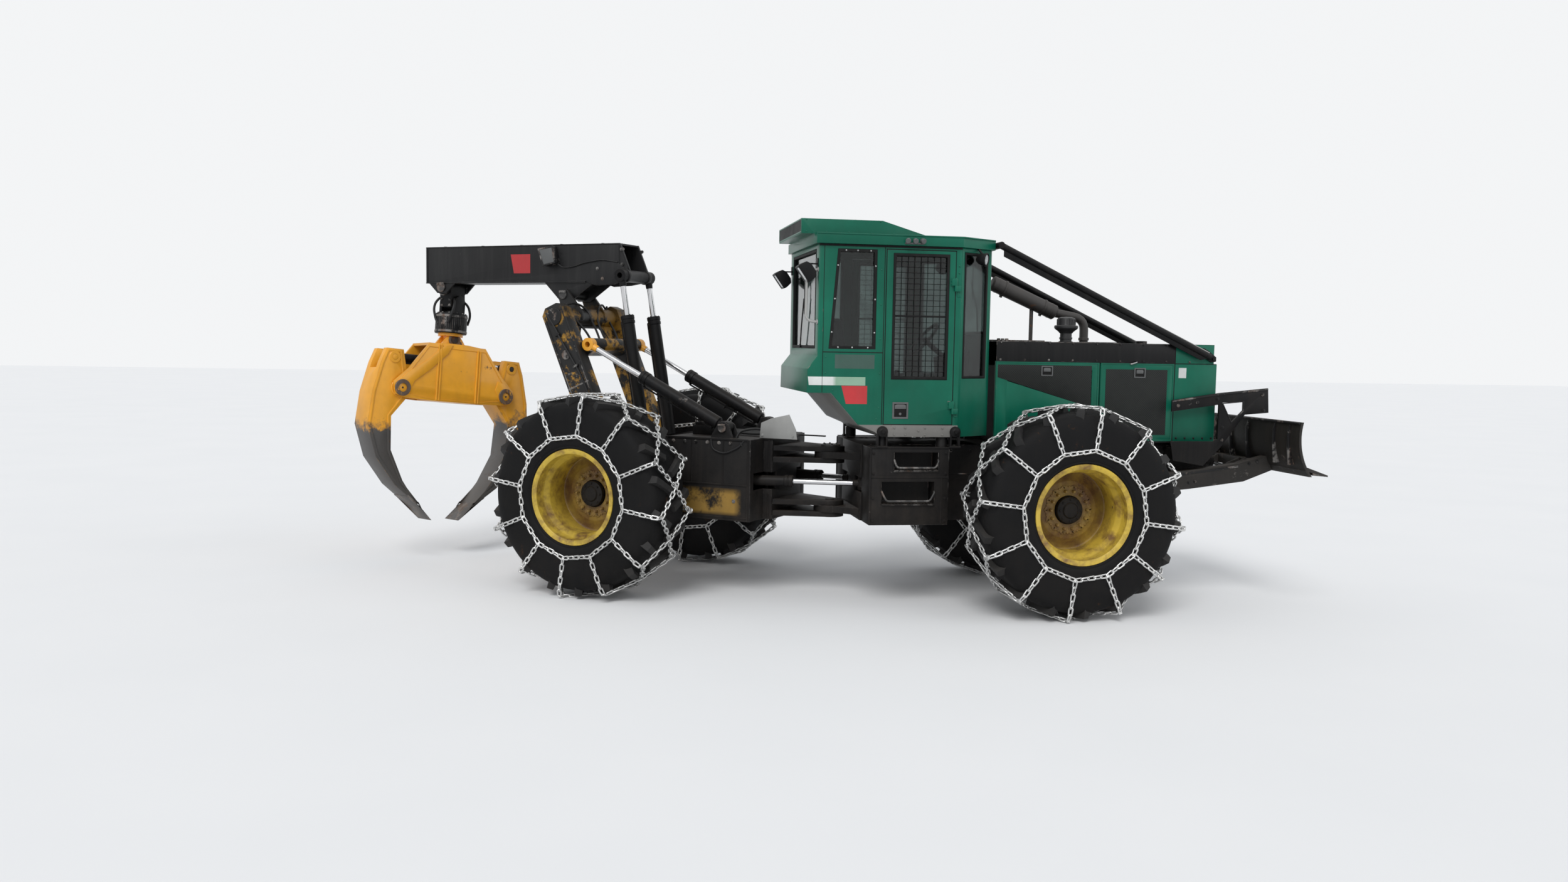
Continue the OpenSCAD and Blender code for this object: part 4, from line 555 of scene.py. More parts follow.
def block(low, high, edge=4, steps=2):
    """A box between two corners with rounded edges."""
    deselect()
    middle = [(a + b)/2*MM for a, b in zip(low, high)]
    bpy.ops.mesh.primitive_cube_add(size=1, location=middle)
    obj = bpy.context.object
    obj.scale = [abs(b - a)*MM for a, b in zip(low, high)]
    bpy.ops.object.transform_apply(location=True, rotation=True, scale=True)
    edit(obj)
    bpy.ops.mesh.bevel(offset=edge*MM, segments=steps, affect="EDGES")
    done()
    return obj


def boxes(rows):
    """Boxes with narrow bevels, each from its two corners and the bevel's width."""
    return [block(row[:3], row[3:6], row[6], 1) for row in rows]


def flat(points, near, axis):
    """A flat face cut to an outline. Its points are (forward, up) for an axis of Y, (left, up) for X and
    (forward, left) for Z."""
    deselect()
    bpy.ops.mesh.primitive_circle_add(vertices=len(points), fill_type="NGON")
    obj = bpy.context.object
    lay = {"Y": lambda p: (p[0], near, p[1]), "X": lambda p: (near, p[0], p[1]),
        "Z": lambda p: (p[0], p[1], near)}[axis]
    for vertex, point in zip(obj.data.vertices, points):
        vertex.co = Vector(lay(point))*MM
    edit(obj)
    return obj


def thickened(obj, near, far, edge, axis):
    step = {"Y": (0, far - near, 0), "X": (far - near, 0, 0), "Z": (0, 0, far - near)}[axis]
    bpy.ops.mesh.select_all(action="SELECT")
    bpy.ops.mesh.extrude_region_move(TRANSFORM_OT_translate={"value": [s*MM for s in step]})
    closed()
    if edge:
        bpy.ops.mesh.bevel(offset=edge*MM, segments=2, affect="EDGES")
    done()
    return obj


def outline(points, near, far, edge=3, axis="Y"):
    """A plate cut to an outline, from near to far along an axis, with rounded edges."""
    return thickened(flat(points, near, axis), near, far, edge, axis)


def border(points, width, near, far, edge=1.5, axis="Y"):
    """A frame that follows an outline inside it: a seal, a trim or the rim of a recess."""
    obj = flat(points, near, axis)
    bpy.ops.mesh.select_mode(type="FACE")
    bpy.ops.mesh.select_all(action="SELECT")
    bpy.ops.mesh.inset(thickness=width*MM, depth=0)
    bpy.ops.mesh.delete(type="FACE")
    bpy.ops.mesh.select_mode(type="VERT")
    return thickened(obj, near, far, edge, axis)


def turned(profile, axis="Y", steps=48, centre=(0, 0, 0), ring=False, angle=35):
    """A round piece spun from a profile of (radius, along) points; ring closes the profile on itself."""
    deselect()
    bpy.ops.mesh.primitive_circle_add(vertices=len(profile), fill_type="NOTHING")
    obj = bpy.context.object
    lay = {"Y": lambda r, a: (r, a, 0), "X": lambda r, a: (a, r, 0), "Z": lambda r, a: (r, 0, a)}[axis]
    for vertex, (radius, along) in zip(obj.data.vertices, profile):
        vertex.co = (Vector(lay(radius, along)) + Vector(centre))*MM
    edit(obj)
    if not ring:
        bpy.ops.mesh.select_all(action="DESELECT")
        bpy.ops.object.mode_set(mode="OBJECT")
        last = len(profile) - 1
        for e in obj.data.edges:
            e.select = set(e.vertices) == {0, last}
        bpy.ops.object.mode_set(mode="EDIT")
        bpy.ops.mesh.select_mode(type="EDGE")
        bpy.ops.mesh.delete(type="EDGE")
        bpy.ops.mesh.select_mode(type="VERT")
        bpy.ops.mesh.select_all(action="SELECT")
    about = {"Y": (0, 1, 0), "X": (1, 0, 0), "Z": (0, 0, 1)}[axis]
    bpy.ops.mesh.spin(steps=steps, angle=2*pi, center=[c*MM for c in centre], axis=about, use_auto_merge=True)
    closed()
    done(angle)
    return obj


def bar(p, q, radius, edge=3, steps=24):
    """A round bar from p to q with rounded ends."""
    a, b = Vector(p), Vector(q)
    length = (b - a).length
    obj = turned([(0, 0), (radius - edge, 0), (radius, edge), (radius, length - edge), (radius - edge, length),
        (0, length)], "Z", steps)
    obj.data.transform(Matrix.Translation(a*MM) @ (b - a).to_track_quat("Z", "Y").to_matrix().to_4x4())
    return obj


def rounded_path(points, radius):
    """The same path with each corner rounded."""
    steps = 5
    path = [Vector(points[0])]
    for before, corner, after in zip(points, points[1:], points[2:]):
        before, corner, after = Vector(before), Vector(corner), Vector(after)
        reach = min(radius, (corner - before).length*0.48, (after - corner).length*0.48)
        start = corner + (before - corner).normalized()*reach
        end = corner + (after - corner).normalized()*reach
        for i in range(steps + 1):
            t = i/steps
            path.append(start*(1 - t)**2 + corner*2*t*(1 - t) + end*t*t)
    path.append(Vector(points[-1]))
    return path


def pipe(points, radius, bend=40, sides=3):
    """A bent bar or line of even thickness through points."""
    deselect()
    data = bpy.data.curves.new("pipe", "CURVE")
    data.dimensions = "3D"
    data.bevel_depth = radius*MM
    data.bevel_resolution = sides
    data.use_fill_caps = True
    spline = data.splines.new("POLY")
    path = rounded_path(points, bend)
    spline.points.add(len(path) - 1)
    for point, at in zip(spline.points, path):
        point.co = (*(at*MM), 1)
    obj = bpy.data.objects.new("pipe", data)
    bpy.context.scene.collection.objects.link(obj)
    only(obj)
    bpy.ops.object.convert(target="MESH")
    obj = bpy.context.object
    edit(obj)
    closed()
    done(50)
    return obj


def joined(pieces):
    """One object from several."""
    deselect()
    for piece in pieces:
        piece.select_set(True)
    bpy.context.view_layer.objects.active = pieces[0]
    if len(pieces) > 1:
        bpy.ops.object.join()
    return bpy.context.view_layer.objects.active


def copy_of(obj, place):
    """A copy with its own mesh, moved to its place; a mirrored one keeps its faces outward."""
    copy = obj.copy()
    copy.data = obj.data.copy()
    copy.data.transform(place)
    if place.to_3x3().determinant() < 0:
        copy.data.flip_normals()
    bpy.context.scene.collection.objects.link(copy)
    return copy


def copies(pattern, places):
    """Copies of a pattern piece at its places, as one object; the pattern itself goes."""
    made = joined([copy_of(pattern, place) for place in places])
    bpy.data.objects.remove(pattern)
    return made


def as_one(made):
    return joined(made) if isinstance(made, list) else made


def both_sides(made):
    """A piece of the right side, or a list of them, with the mirror image on the left, as one object."""
    made = as_one(made)
    return joined([made, copy_of(made, MIRROR)])


# The finishes that usually go with each slot, and the bodies that aren't drawn in the front frame's axes
FINISHES = {"black_paint": (mesh_black, black_paint, black_edge, boom_paint, dark_bore, dusty_edge),
    "cab_paint": (green_paint, green_edge, old_band, red_patch, white_stripe), "chain_steel": (bright_steel,),
    "cleaner_plastic": (cleaner_plastic,), "dash_plastic": (dash_plastic, guard_grey, latch_grey, seal_rubber),
    "exhaust_metal": (exhaust_metal,), "grapple_paint": (amber_paint, amber_edge, tong_paint, worn_steel),
    "hood_paint": (blank_white, hood_paint), "rod_chrome": (chrome,), "sill_paint": (grey_sill,),
    "tyre_rubber": (hose_rubber,), "window_glass": (lamp_lens,)}
SLOT = {finish.name: slot for slot, finishes in FINISHES.items() for finish in finishes}
AXES = {"rear_frame": REAR, "boom": REAR, "grapple_hanger": REAR, "grapple_rotator": REAR, "arch": ARCH,
    "grapple_head": TURNED}


def fit_up(made, name, finish, body="front_frame", slot=None, place=None):
    """Makes one piece of what was made, names it, moves it to its place and hangs it on its body."""
    obj = as_one(made)
    slot = slot or SLOT[finish.name]
    place = place or AXES.get(body, FRONT)
    obj.name = name
    obj.data.name = name
    obj.data.transform(place)
    if place.to_3x3().determinant() < 0:
        obj.data.flip_normals()
    obj.data.materials.clear()
    obj.data.materials.append(finish)
    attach(obj, body)
    return obj


def fit_both(made, *rest, **named):
    return fit_up(both_sides(made), *rest, **named)


def spot(x, y, z, toward="-Y", turn=0.0):
    """The place of a small pattern piece whose own axis points up, laid on a face that looks toward an axis."""
    axes = {"-Y": (0, -1, 0), "Y": (0, 1, 0), "X": (1, 0, 0), "-X": (-1, 0, 0), "Z": (0, 0, 1)}
    axis = axes[toward] if isinstance(toward, str) else toward
    facing = Vector(axis).to_track_quat("Z", "Y").to_matrix().to_4x4()
    return shift(x, y, z) @ facing @ Matrix.Rotation(turn, 4, "Z")


def hex_bolt(across=24, head=14, washer=18):
    """A hexagon head on its washer, standing on its seat."""
    round_part = turned([(0, 0), (washer, 0), (washer, 3), (across*0.5, 4), (0, 4)], "Z", 16)
    deselect()
    bpy.ops.mesh.primitive_cylinder_add(vertices=6, radius=across*0.5*MM, depth=head*MM,
        location=(0, 0, (3 + head/2)*MM))
    head_part = bpy.context.object
    bpy.ops.object.transform_apply(location=True)
    edit(head_part)
    bpy.ops.mesh.bevel(offset=1.5*MM, segments=1, affect="EDGES")
    done()
    return joined([round_part, head_part])


def rivet(radius=9, height=5):
    """A low domed head."""
    return turned([(0, height), (radius*0.5, height*0.86), (radius*0.85, height*0.45), (radius, 0)], "Z", 10)


def oblong(low, high):
    """The corners of an upright oblong."""
    return [low, (high[0], low[1]), high, (low[0], high[1])]


def ring(radius, hole, near, far, centre=(0, 0, 0), axis="Y", edge=3):
    """A round eye or collar with its bore."""
    profile = [(hole, near), (radius - edge, near), (radius, near + edge), (radius, far - edge),
        (radius - edge, far), (hole, far)]
    return turned(profile, axis, 32, centre, ring=True)


def cap(radius, height, place, bolts=0):
    """A round cap that stands on a face, with bolts round it."""
    made = turned([(0, height), (radius - 4, height), (radius, height - 4), (radius, -2)], "Z", 32)
    if bolts:
        at = [shift(radius*0.72*cos(a), radius*0.72*sin(a), height - 1) for a in angles(bolts)]
        made = joined([made, copies(hex_bolt(16, 8, 11), at)])
    made.data.transform(place)
    return made


def at_spots(pattern, spots):
    """A pattern at each spot, given as (x, y, z, toward)."""
    return copies(pattern, [spot(*s) for s in spots])


# CAD nodes: a copy of each with its sharp edges rounded, or the node itself with its finish
def softened(node, width, finish, edge_finish, cutter=None):
    """Stands for a CAD node: its own form with rounded edges, whose narrow faces carry the edge's wear."""
    source = cad[node]
    obj = bpy.data.objects.new("soft_" + node, source.data.copy())
    bpy.context.scene.collection.objects.link(obj)
    obj.data.materials.clear()
    obj.data.materials.append(finish)
    obj.data.materials.append(edge_finish)
    edit(obj)
    bpy.ops.mesh.remove_doubles(threshold=TOUCHING)
    bpy.ops.mesh.customdata_custom_splitnormals_clear()
    bpy.ops.mesh.dissolve_limited(angle_limit=radians(1.0))
    bpy.ops.object.mode_set(mode="OBJECT")
    if cutter:
        cut = obj.modifiers.new("cut", "BOOLEAN")
        cut.operation = "DIFFERENCE"
        cut.solver = "EXACT"
        cut.object = cutter
        only(obj)
        bpy.ops.object.modifier_apply(modifier="cut")
        bpy.data.objects.remove(cutter)
    for polygon in obj.data.polygons:
        polygon.material_index = 0
    rounding = obj.modifiers.new("rounding", "BEVEL")
    rounding.width = width*MM
    rounding.segments = 2
    rounding.limit_method = "ANGLE"
    rounding.angle_limit = radians(30)
    rounding.material = 1
    rounding.use_clamp_overlap = True
    only(obj)
    bpy.ops.object.modifier_apply(modifier="rounding")
    bpy.ops.object.shade_smooth_by_angle(angle=radians(30))
    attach(obj, source["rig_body"])
    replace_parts(obj, node)
    return obj


def finished(node, finish):
    """Keeps a CAD node and gives it its finish."""
    data = cad[node].data
    data.materials.clear()
    data.materials.append(finish)
    for polygon in data.polygons:
        polygon.material_index = 0


def nose_gap():
    """The space under the bars that run back beside the radiator, cut out of the nose plates on both sides."""
    under_bar = [(3060, 1780), (3556, 1852), (3556, 1530), (3520, 1508), (3060, 1508)]
    cutter = both_sides(outline(under_bar, -610, -505, 0))
    cutter.data.transform(FRONT)
    return cutter


# The roof's lid lies a little lower, so that its vents end level with the CAD's roof
LID_FOOT, LID_DROP = 3428, 7
# The nodes that are rounded: by how much, their finish, their edges' finish, their slot and their names
ROUNDED = [(6, green_paint, green_edge, "cab_paint", "cab_side_right cab_side_left cab_front cab_rear"),
    (5, grey_sill, black_edge, "sill_paint", "cab_floor"),
    (4, black_paint, black_edge, "black_paint", "side_box_right side_box_left"),
    (8, green_paint, green_edge, "cab_paint", "cab_roof"),
    (5, green_paint, green_edge, "cab_paint", "door_right door_left"),
    (5, hood_paint, black_edge, "hood_paint", "hood"),
    (2, green_paint, green_edge, "hood_paint", "hood_panels"),
    (4, green_paint, green_edge, "hood_paint", "radiator_box"),
    (5, boom_paint, black_edge, "black_paint", "boom"), (5, arch_paint, black_edge, "black_paint", "arch"),
    (4, black_paint, black_edge, "black_paint", "front_frame"),
    (4, rear_paint, black_edge, "black_paint", "rear_frame"),
    (5, blade_steel, black_edge, "black_paint", "blade"),
    (5, amber_paint, amber_edge, "grapple_paint", "grapple_head"),
    (8, tong_paint, amber_edge, "grapple_paint", "tong_right tong_left"),
    (4, black_paint, black_edge, "black_paint", "grapple_hanger grapple_rotator"),
    (8, engine_iron, engine_iron, "engine_iron", "engine"),
    (3, black_paint, black_edge, "black_paint", "limb_risers"),
    (6, dash_plastic, dash_plastic, "dash_plastic", "dash_console"),]


def dress_nodes():
    """Rounds the nodes in the table and gives the panes their glass."""
    rows = [(*row[:4], node) for row in ROUNDED for node in row[4].split()]
    for width, finish, edge, slot, node in rows:
        made = softened(node, width, finish, edge, cutter=nose_gap() if node == "front_frame" else None)
        if node == "cab_roof":
            for vertex in made.data.vertices:
                if vertex.co.z > LID_FOOT*MM:
                    vertex.co.z -= LID_DROP*MM
    for node in ("cab_glass", "door_glass_right", "door_glass_left"):
        finished(node, window_glass)


# Wheels
TYRE_R, TYRE_W, LUG_H, LUG_W, LUGS = 905, 620, 42, 64, 18
LUG_SLANT, LUG_REACH, SHOULDER, SHOULDER_DROP = -28, 308, 240, 14/70
FLANGE_R, SEAT_R, WELL_R, RIM_W = 438, 406, 366, 580
WHEEL_Y, FRONT_AXLE_X, REAR_AXLE_X = 1090, 1930, -1940
STUDS, STUD_R = 14, 168
TYRE_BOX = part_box("tyre_front_right")
AXLE_Z = (TYRE_BOX[0].z + TYRE_BOX[1].z)/2/MM
# How far past the middle the disc stands, toward the inner side
DISC = 70
# The net over the tread has a node every CHAIN_STEP degrees. A side chain runs round each sidewall at SIDE_R
CHAIN_R, CHAIN_EDGE, CHAIN_SIDE, SIDE_R, CHAIN_STEP, LINK_PITCH = 914.8, 240, 312.6, 560, 15, 57
WHEELS = {"front_right": (FRONT, FRONT_AXLE_X, -1), "front_left": (FRONT, FRONT_AXLE_X, 1),
    "rear_right": (REAR, REAR_AXLE_X, -1), "rear_left": (REAR, REAR_AXLE_X, 1)}


def wheel_place(corner):
    """From a right wheel about the origin, its outer face toward -Y, to its place."""
    side_frame, along, side = WHEELS[corner]
    there = shift(along, side*WHEEL_Y, AXLE_Z)
    return side_frame @ there @ (MIRROR if side > 0 else SAME)


def make_tyre():
    """A forestry tyre's spun casing, and apart from it the two rows of slanting lugs."""
    half = TYRE_W/2
    casing = TYRE_R - LUG_H
    side = [(SEAT_R + 1, -266), (FLANGE_R - 10, -272), (FLANGE_R + 4, -283), (FLANGE_R + 12, -293),
        (FLANGE_R + 26, -292), (FLANGE_R + 34, -299), (FLANGE_R + 60, -303), (FLANGE_R + 100, -308),
        (FLANGE_R + 160, -310), (casing - 190, -309), (casing - 120, -304), (casing - 70, -294),
        (casing - 32, -276), (casing - 12, -250), (casing - 3, -215), (casing, -150)]
    profile = side + [(r, -a) for r, a in reversed(side)]
    tyre = turned(profile, "Y", 96, angle=40)
    edit(tyre)
    bpy.ops.mesh.select_mode(type="EDGE")
    bpy.ops.mesh.select_all(action="DESELECT")
    bpy.ops.mesh.select_non_manifold()
    bpy.ops.mesh.bridge_edge_loops()
    closed()
    done(40)
    length = half - 12
    lug = block((casing - 60, -LUG_W/2, 0), (casing + LUG_H + 20, LUG_W/2, length), 1, 1)
    edit(lug)
    bpy.ops.mesh.subdivide(number_cuts=3)
    bpy.ops.object.mode_set(mode="OBJECT")
    for vertex in lug.data.vertices:
        rise = max(0, vertex.co.x/MM - casing + 20)/(LUG_H + 40)
        vertex.co.y *= 1.12 - 0.30*rise
        vertex.co.z += 0.010*rise*(1 if vertex.co.z < length*MM*0.5 else -1)
    # A lug's own axes are radial, round the tyre and toward the tread's middle, as the CAD draws them
    wheel_axes = Matrix(((1, 0, 0, 0), (0, 0, -1, 0), (0, 1, 0, 0), (0, 0, 0, 1)))
    places = []
    for side in (-1, 1):
        for i in range(LUGS):
            turn = Matrix.Rotation(radians((i + side/4)*360/LUGS), 4, "Z")
            slant = Matrix.Translation((0, 0, side*4*MM)) @ Matrix.Rotation(radians(side*LUG_SLANT), 4, "X")
            drop = SAME if side > 0 else Matrix.Translation((0, 0, -length*MM))
            places.append(wheel_axes @ turn @ slant @ drop)
    lugs = copies(lug, places)
    for vertex in lugs.data.vertices:
        reach = hypot(vertex.co.x, vertex.co.z)
        limit = (TYRE_R - SHOULDER_DROP*max(0, abs(vertex.co.y)/MM - SHOULDER))*MM
        if reach > limit:
            vertex.co.x *= limit/reach
            vertex.co.z *= limit/reach
        vertex.co.y = max(-LUG_REACH*MM, min(LUG_REACH*MM, vertex.co.y))
    only(lugs)
    bpy.ops.object.shade_smooth_by_angle(angle=radians(35))
    return tyre, lugs


def make_rim():
    """A deep-dished rim's spun shell, and apart from it the dish with its weld bead."""
    h = RIM_W/2
    barrel = [(FLANGE_R, -h + 3), (FLANGE_R - 3, -h), (SEAT_R - 6, -h + 5), (SEAT_R - 14, -h + 12),
        (SEAT_R - 14, 112 - h), (SEAT_R - 20, 122 - h), (WELL_R - 10, 158 - h), (WELL_R - 14, 170 - h),
        (WELL_R - 14, h - 170), (SEAT_R - 14, h - 112), (SEAT_R - 14, h - 12), (FLANGE_R - 3, h),
        (FLANGE_R, h - 3), (FLANGE_R, h - 12), (SEAT_R, h - 22), (SEAT_R, h - 110), (WELL_R, h - 160),
        (WELL_R, 160 - h), (SEAT_R, 110 - h), (SEAT_R, 22 - h), (FLANGE_R, 12 - h)]
    shell = turned(barrel, "Y", 96, ring=True)
    d = DISC
    disc = turned([(128, d), (150, d - 3), (196, d - 3), (206, d + 2), (250, d + 3), (262, d + 8),
        (WELL_R - 60, d + 34), (WELL_R - 30, d + 38), (WELL_R - 13, d + 40), (WELL_R - 13, d + 62),
        (WELL_R - 40, d + 61), (250, d + 24), (128, d + 22)], "Y", 96, ring=True)
    bead = turned([(WELL_R - 13, d + 26), (WELL_R - 22, d + 30), (WELL_R - 28, d + 41), (WELL_R - 13, d + 42)],
        "Y", 96, ring=True)
    return shell, joined([disc, bead])


def make_hub():
    """The dark cover of the planetary end in the rim, with its ring of bolts."""
    d = DISC
    cover = turned([(0, d - 66), (40, d - 66), (62, d - 62), (72, d - 50), (104, d - 46), (116, d - 40),
        (119, d - 28), (119, d + 2)], "Y", 48)
    bolt = hex_bolt(16, 9, 12)
    places = [spot(95*cos(a), d - 47, 95*sin(a)) for a in angles(8)]
    return joined([cover, copies(bolt, places)])


def make_nuts():
    """The wheel nuts on their studs, and the valve."""
    d = DISC
    nut = hex_bolt(32, 24, 26)
    stud = turned([(0, 40), (9, 40), (11, 38), (11, 20)], "Z", 12)
    nut = joined([nut, stud])
    nuts = copies(nut, [spot(STUD_R*cos(a), d - 3, STUD_R*sin(a), turn=a) for a in angles(STUDS)])
    valve = turned([(0, -4), (6, -4), (8, 6), (8, 26), (22, 30), (22, 44), (14, 50)], "Y", 16,
        (WELL_R + 2, d - 178, 40))
    return joined([nuts, valve])


def chain_link():
    """An oval link: its long axis forward, its width across."""
    deselect()
    bpy.ops.mesh.primitive_torus_add(major_segments=12, minor_segments=5, major_radius=16*MM, minor_radius=8*MM)
    link = bpy.context.object
    for vertex in link.data.vertices:
        vertex.co.x += 20*MM*(1 if vertex.co.x > 0 else -1)
    only(link)
    bpy.ops.object.shade_smooth()
    return link


def wheel_point(angle, radius, across):
    return Vector((radius*cos(radians(angle)), across, radius*sin(radians(angle))))


def run_places(points, roll_by=40):
    """Places for links along a path of (point, outward normal) pairs, each rolled against the last."""
    lengths = [0]
    for (a, _), (b, _) in zip(points, points[1:]):
        lengths.append(lengths[-1] + (b - a).length)
    count = max(1, round(lengths[-1]/LINK_PITCH))
    step = lengths[-1]/count

    def at(distance):
        for i in range(len(points) - 1):
            if distance <= lengths[i + 1] + 1e-6:
                t = (distance - lengths[i])/(lengths[i + 1] - lengths[i])
                return points[i][0].lerp(points[i + 1][0], t), points[i][1].lerp(points[i + 1][1], t)
        return points[-1]
    places = []
    for i in range(count):
        start, end = at(i*step)[0], at((i + 1)*step)[0]
        along = (end - start).normalized()
        normal = at((i + 0.5)*step)[1]
        across = normal.cross(along).normalized()
        normal = along.cross(across)
        roll = radians(roll_by if i % 2 else -roll_by)
        wide = across*cos(roll) + normal*sin(roll)
        thin = along.cross(wide)
        middle = (start + end)/2
        matrix = Matrix([[along[k], wide[k], thin[k], middle[k]*MM] for k in range(3)] + [[0, 0, 0, 1]])
        places.append(matrix)
    return places


def make_chain():
    """A tyre chain: a net over the tread, runs over the shoulders, and a side chain round each sidewall."""
    places = []
    node_r = CHAIN_R/cos(radians(CHAIN_STEP/2))
    for i in range(360//CHAIN_STEP):
        for side in (-1, 1):
            ends = []
            for k in (-0.5, 0.5):
                angle = (i + k)*CHAIN_STEP
                at_edge = (i % 2 == 0) == (k < 0)
                ends.append((wheel_point(angle, node_r, side*CHAIN_EDGE if at_edge else 0),
                    wheel_point(angle, 1, 0)))
            places += run_places(ends)
    side_nodes = []
    for i in range(180//CHAIN_STEP):
        angle = (2*i - 0.5)*CHAIN_STEP
        side_nodes.append(angle)
        for side in (-1, 1):
            out = Vector((0, side, 0))
            up = wheel_point(angle, 1, 0)
            run = [(wheel_point(angle, node_r, side*CHAIN_EDGE), up),
                (wheel_point(angle, node_r - 4, side*296), up),
                (wheel_point(angle, node_r - 30, side*(CHAIN_SIDE + 2)), (up + out).normalized()),
                (wheel_point(angle, SIDE_R, side*CHAIN_SIDE), out)]
            places += run_places(run, roll_by=30)
    for side in (-1, 1):
        out = Vector((0, side, 0))
        for a, b in zip(side_nodes, side_nodes[1:] + side_nodes[:1]):
            ends = [(wheel_point(angle, SIDE_R, side*CHAIN_SIDE), out) for angle in (a, b)]
            places += run_places(ends, roll_by=30)
    return copies(chain_link(), places)


def make_rim_extras():
    """The scalloped ring round the wheel nuts."""
    d = DISC
    points = []
    for i in range(112):
        a = 2*pi*i/112
        r = 214 + 11*cos(STUDS*a)
        points.append((r*cos(a), r*sin(a)))
    scallops = border(points, 30, d - 5, d + 4, 2)
    holes = [spot(203*cos(a), d - 5, 203*sin(a)) for a in angles(STUDS, 0.5)]
    return joined([scallops, copies(turned([(0, 3), (8, 3), (10, 1), (10, -2)], "Z", 10), holes)])


def make_wheels():
    """The four wheels, copied from one that is made about the origin."""
    tyre, lugs = make_tyre()
    rim, dish = make_rim()
    hub, nuts, chain = make_hub(), joined([make_nuts(), make_rim_extras()]), make_chain()
    for corner in WHEELS:
        place, body = wheel_place(corner), "wheel_" + corner
        for pattern, name, finish, slot, node in [(tyre, "tyre", rubber, "tyre_rubber", "tyre_"),
                (lugs, "tyre_lugs", lug_rubber, "tyre_rubber", None),
                (rim, "rim", rim_paint, "rim_paint", "rim_"), (dish, "rim_dish", dish_paint, "rim_paint", None),
                (hub, "hub_cover", black_paint, "black_paint", None),
                (nuts, "wheel_nuts", dish_paint, "rim_paint", None),
                (chain, "tyre_chain", chain_steel, "chain_steel", "chain_")]:
            piece = fit_up(copy_of(pattern, SAME), name + "_" + corner + "_made", finish, body, slot, place)
            if node:
                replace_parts(piece, node + corner)
    for pattern in (tyre, lugs, rim, dish, hub, nuts, chain):
        bpy.data.objects.remove(pattern)


# Cylinders: each is drawn along +X from its base eye and then laid from pin to pin
def laid(p, q, y):
    """From a cylinder's own axes to its frame's: base at p and rod's eye toward q, both (forward, up)."""
    rise = atan2(q[1] - p[1], q[0] - p[0])
    return shift(p[0], y, p[1]) @ Matrix.Rotation(-rise, 4, "Y")


def make_barrel(length, bore, r, rod, eye, pin, w, line=True):
    """A barrel with its base eye, weld beads, gland with its bolts, and the line to the gland's port."""
    neck = w/2 - 8
    tube = turned([(0, eye*0.7), (neck, eye*0.7), (neck, eye + 10), (r - 6, eye + 18), (r, eye + 24),
        (r, length - 82), (r + 6, length - 78), (r + 7, length - 74), (r + 7, length - 52),
        (r + 3, length - 48), (r + 3, length - 40), (r + 7, length - 36), (r + 7, length - 6),
        (r + 3, length - 1), (rod + 9, length), (rod + 5, length - 4), (rod + 1, length - 4),
        (rod + 1, length - bore), (0, length - bore)], "X", 40)
    pieces = [tube, ring(eye, pin + 0.4, -w/2, w/2)]
    bead = [(neck - 2, eye + 4), (neck + 7, eye + 8), (neck + 7, eye + 16), (neck - 2, eye + 20)]
    pieces.append(turned(bead, "X", 40, ring=True))
    pieces.append(copies(hex_bolt(14, 6, 9), [shift(length - 3, (r - 9)*cos(a), (r - 9)*sin(a))
        @ Matrix.Rotation(pi/2, 4, "Y") for a in angles(6)]))
    if line:
        near, far = eye + 70, length - 62
        pieces.append(pipe([(near, 0, r - 4), (near, 0, r + 17), (far, 0, r + 17), (far, 0, r + 2)], 8.5, 22,
            2))
        for x in (near, far):
            pieces.append(turned([(0, 20), (10, 20), (13, 17), (13, 8), (17, 6), (17, -8)], "Z", 6, (x, 0, r)))
        for x in (near + (far - near)*0.3, near + (far - near)*0.75):
            pieces.append(block((x - 12, -15, r - 4), (x + 12, 15, r + 24), 3, 1))
    return joined(pieces)


def make_rod(start, reach, rod, eye, w):
    """A rod's polished bar, and its eye apart, for their two finishes."""
    shaft = turned([(0, start), (rod - 2, start), (rod, start + 2), (rod, reach - eye - 16),
        (0, reach - eye - 16)], "X", 32)
    end = turned([(rod + 1, reach - eye - 44), (rod + 5, reach - eye - 40),
        (min(eye*0.7, w/2) - 2, reach - eye + 2), (min(eye*0.7, w/2) - 2, reach - eye*0.6),
        (0, reach - eye*0.6), (0, reach - eye - 44)], "X", 32)
    return shaft, joined([end, ring(eye, 28.4 if eye > 52 else 25.4, -w/2, w/2, (reach, 0, 0))])


def cylinder_pair(name, place, p, q, y, length, bore, start, eye_finish):
    """Both cylinders of a pair, as the CAD keeps them: two barrels on one body, two rods on another."""
    r, rod, eye, pin, w, rod_w = 60, 28, 64, 28, 90, 76
    lay = laid(p, q, y)
    reach = hypot(q[0] - p[0], q[1] - p[1])
    barrel = make_barrel(length, bore, r, rod, eye, pin, w)
    shaft, end = make_rod(start, reach, rod, eye, rod_w)
    for obj, part, finish, slot in [(barrel, "barrels", black_paint, "black_paint"),
            (shaft, "rods", chrome, "rod_chrome"), (end, "rod_eyes", eye_finish, "black_paint")]:
        obj.data.transform(lay)
        body = name + ("_rods" if part == "rod_eyes" else "_" + part)
        piece = fit_both(obj, name + "_" + part + "_made", finish, body, slot, place)
        if part != "rod_eyes":
            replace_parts(piece, body)


# The steering cylinders' pins: the rods' in the front frame's axes, the barrels' in the rear frame's
STEER_EYE, STEER_BASE = (260, 230), (-860, 430, 1080)


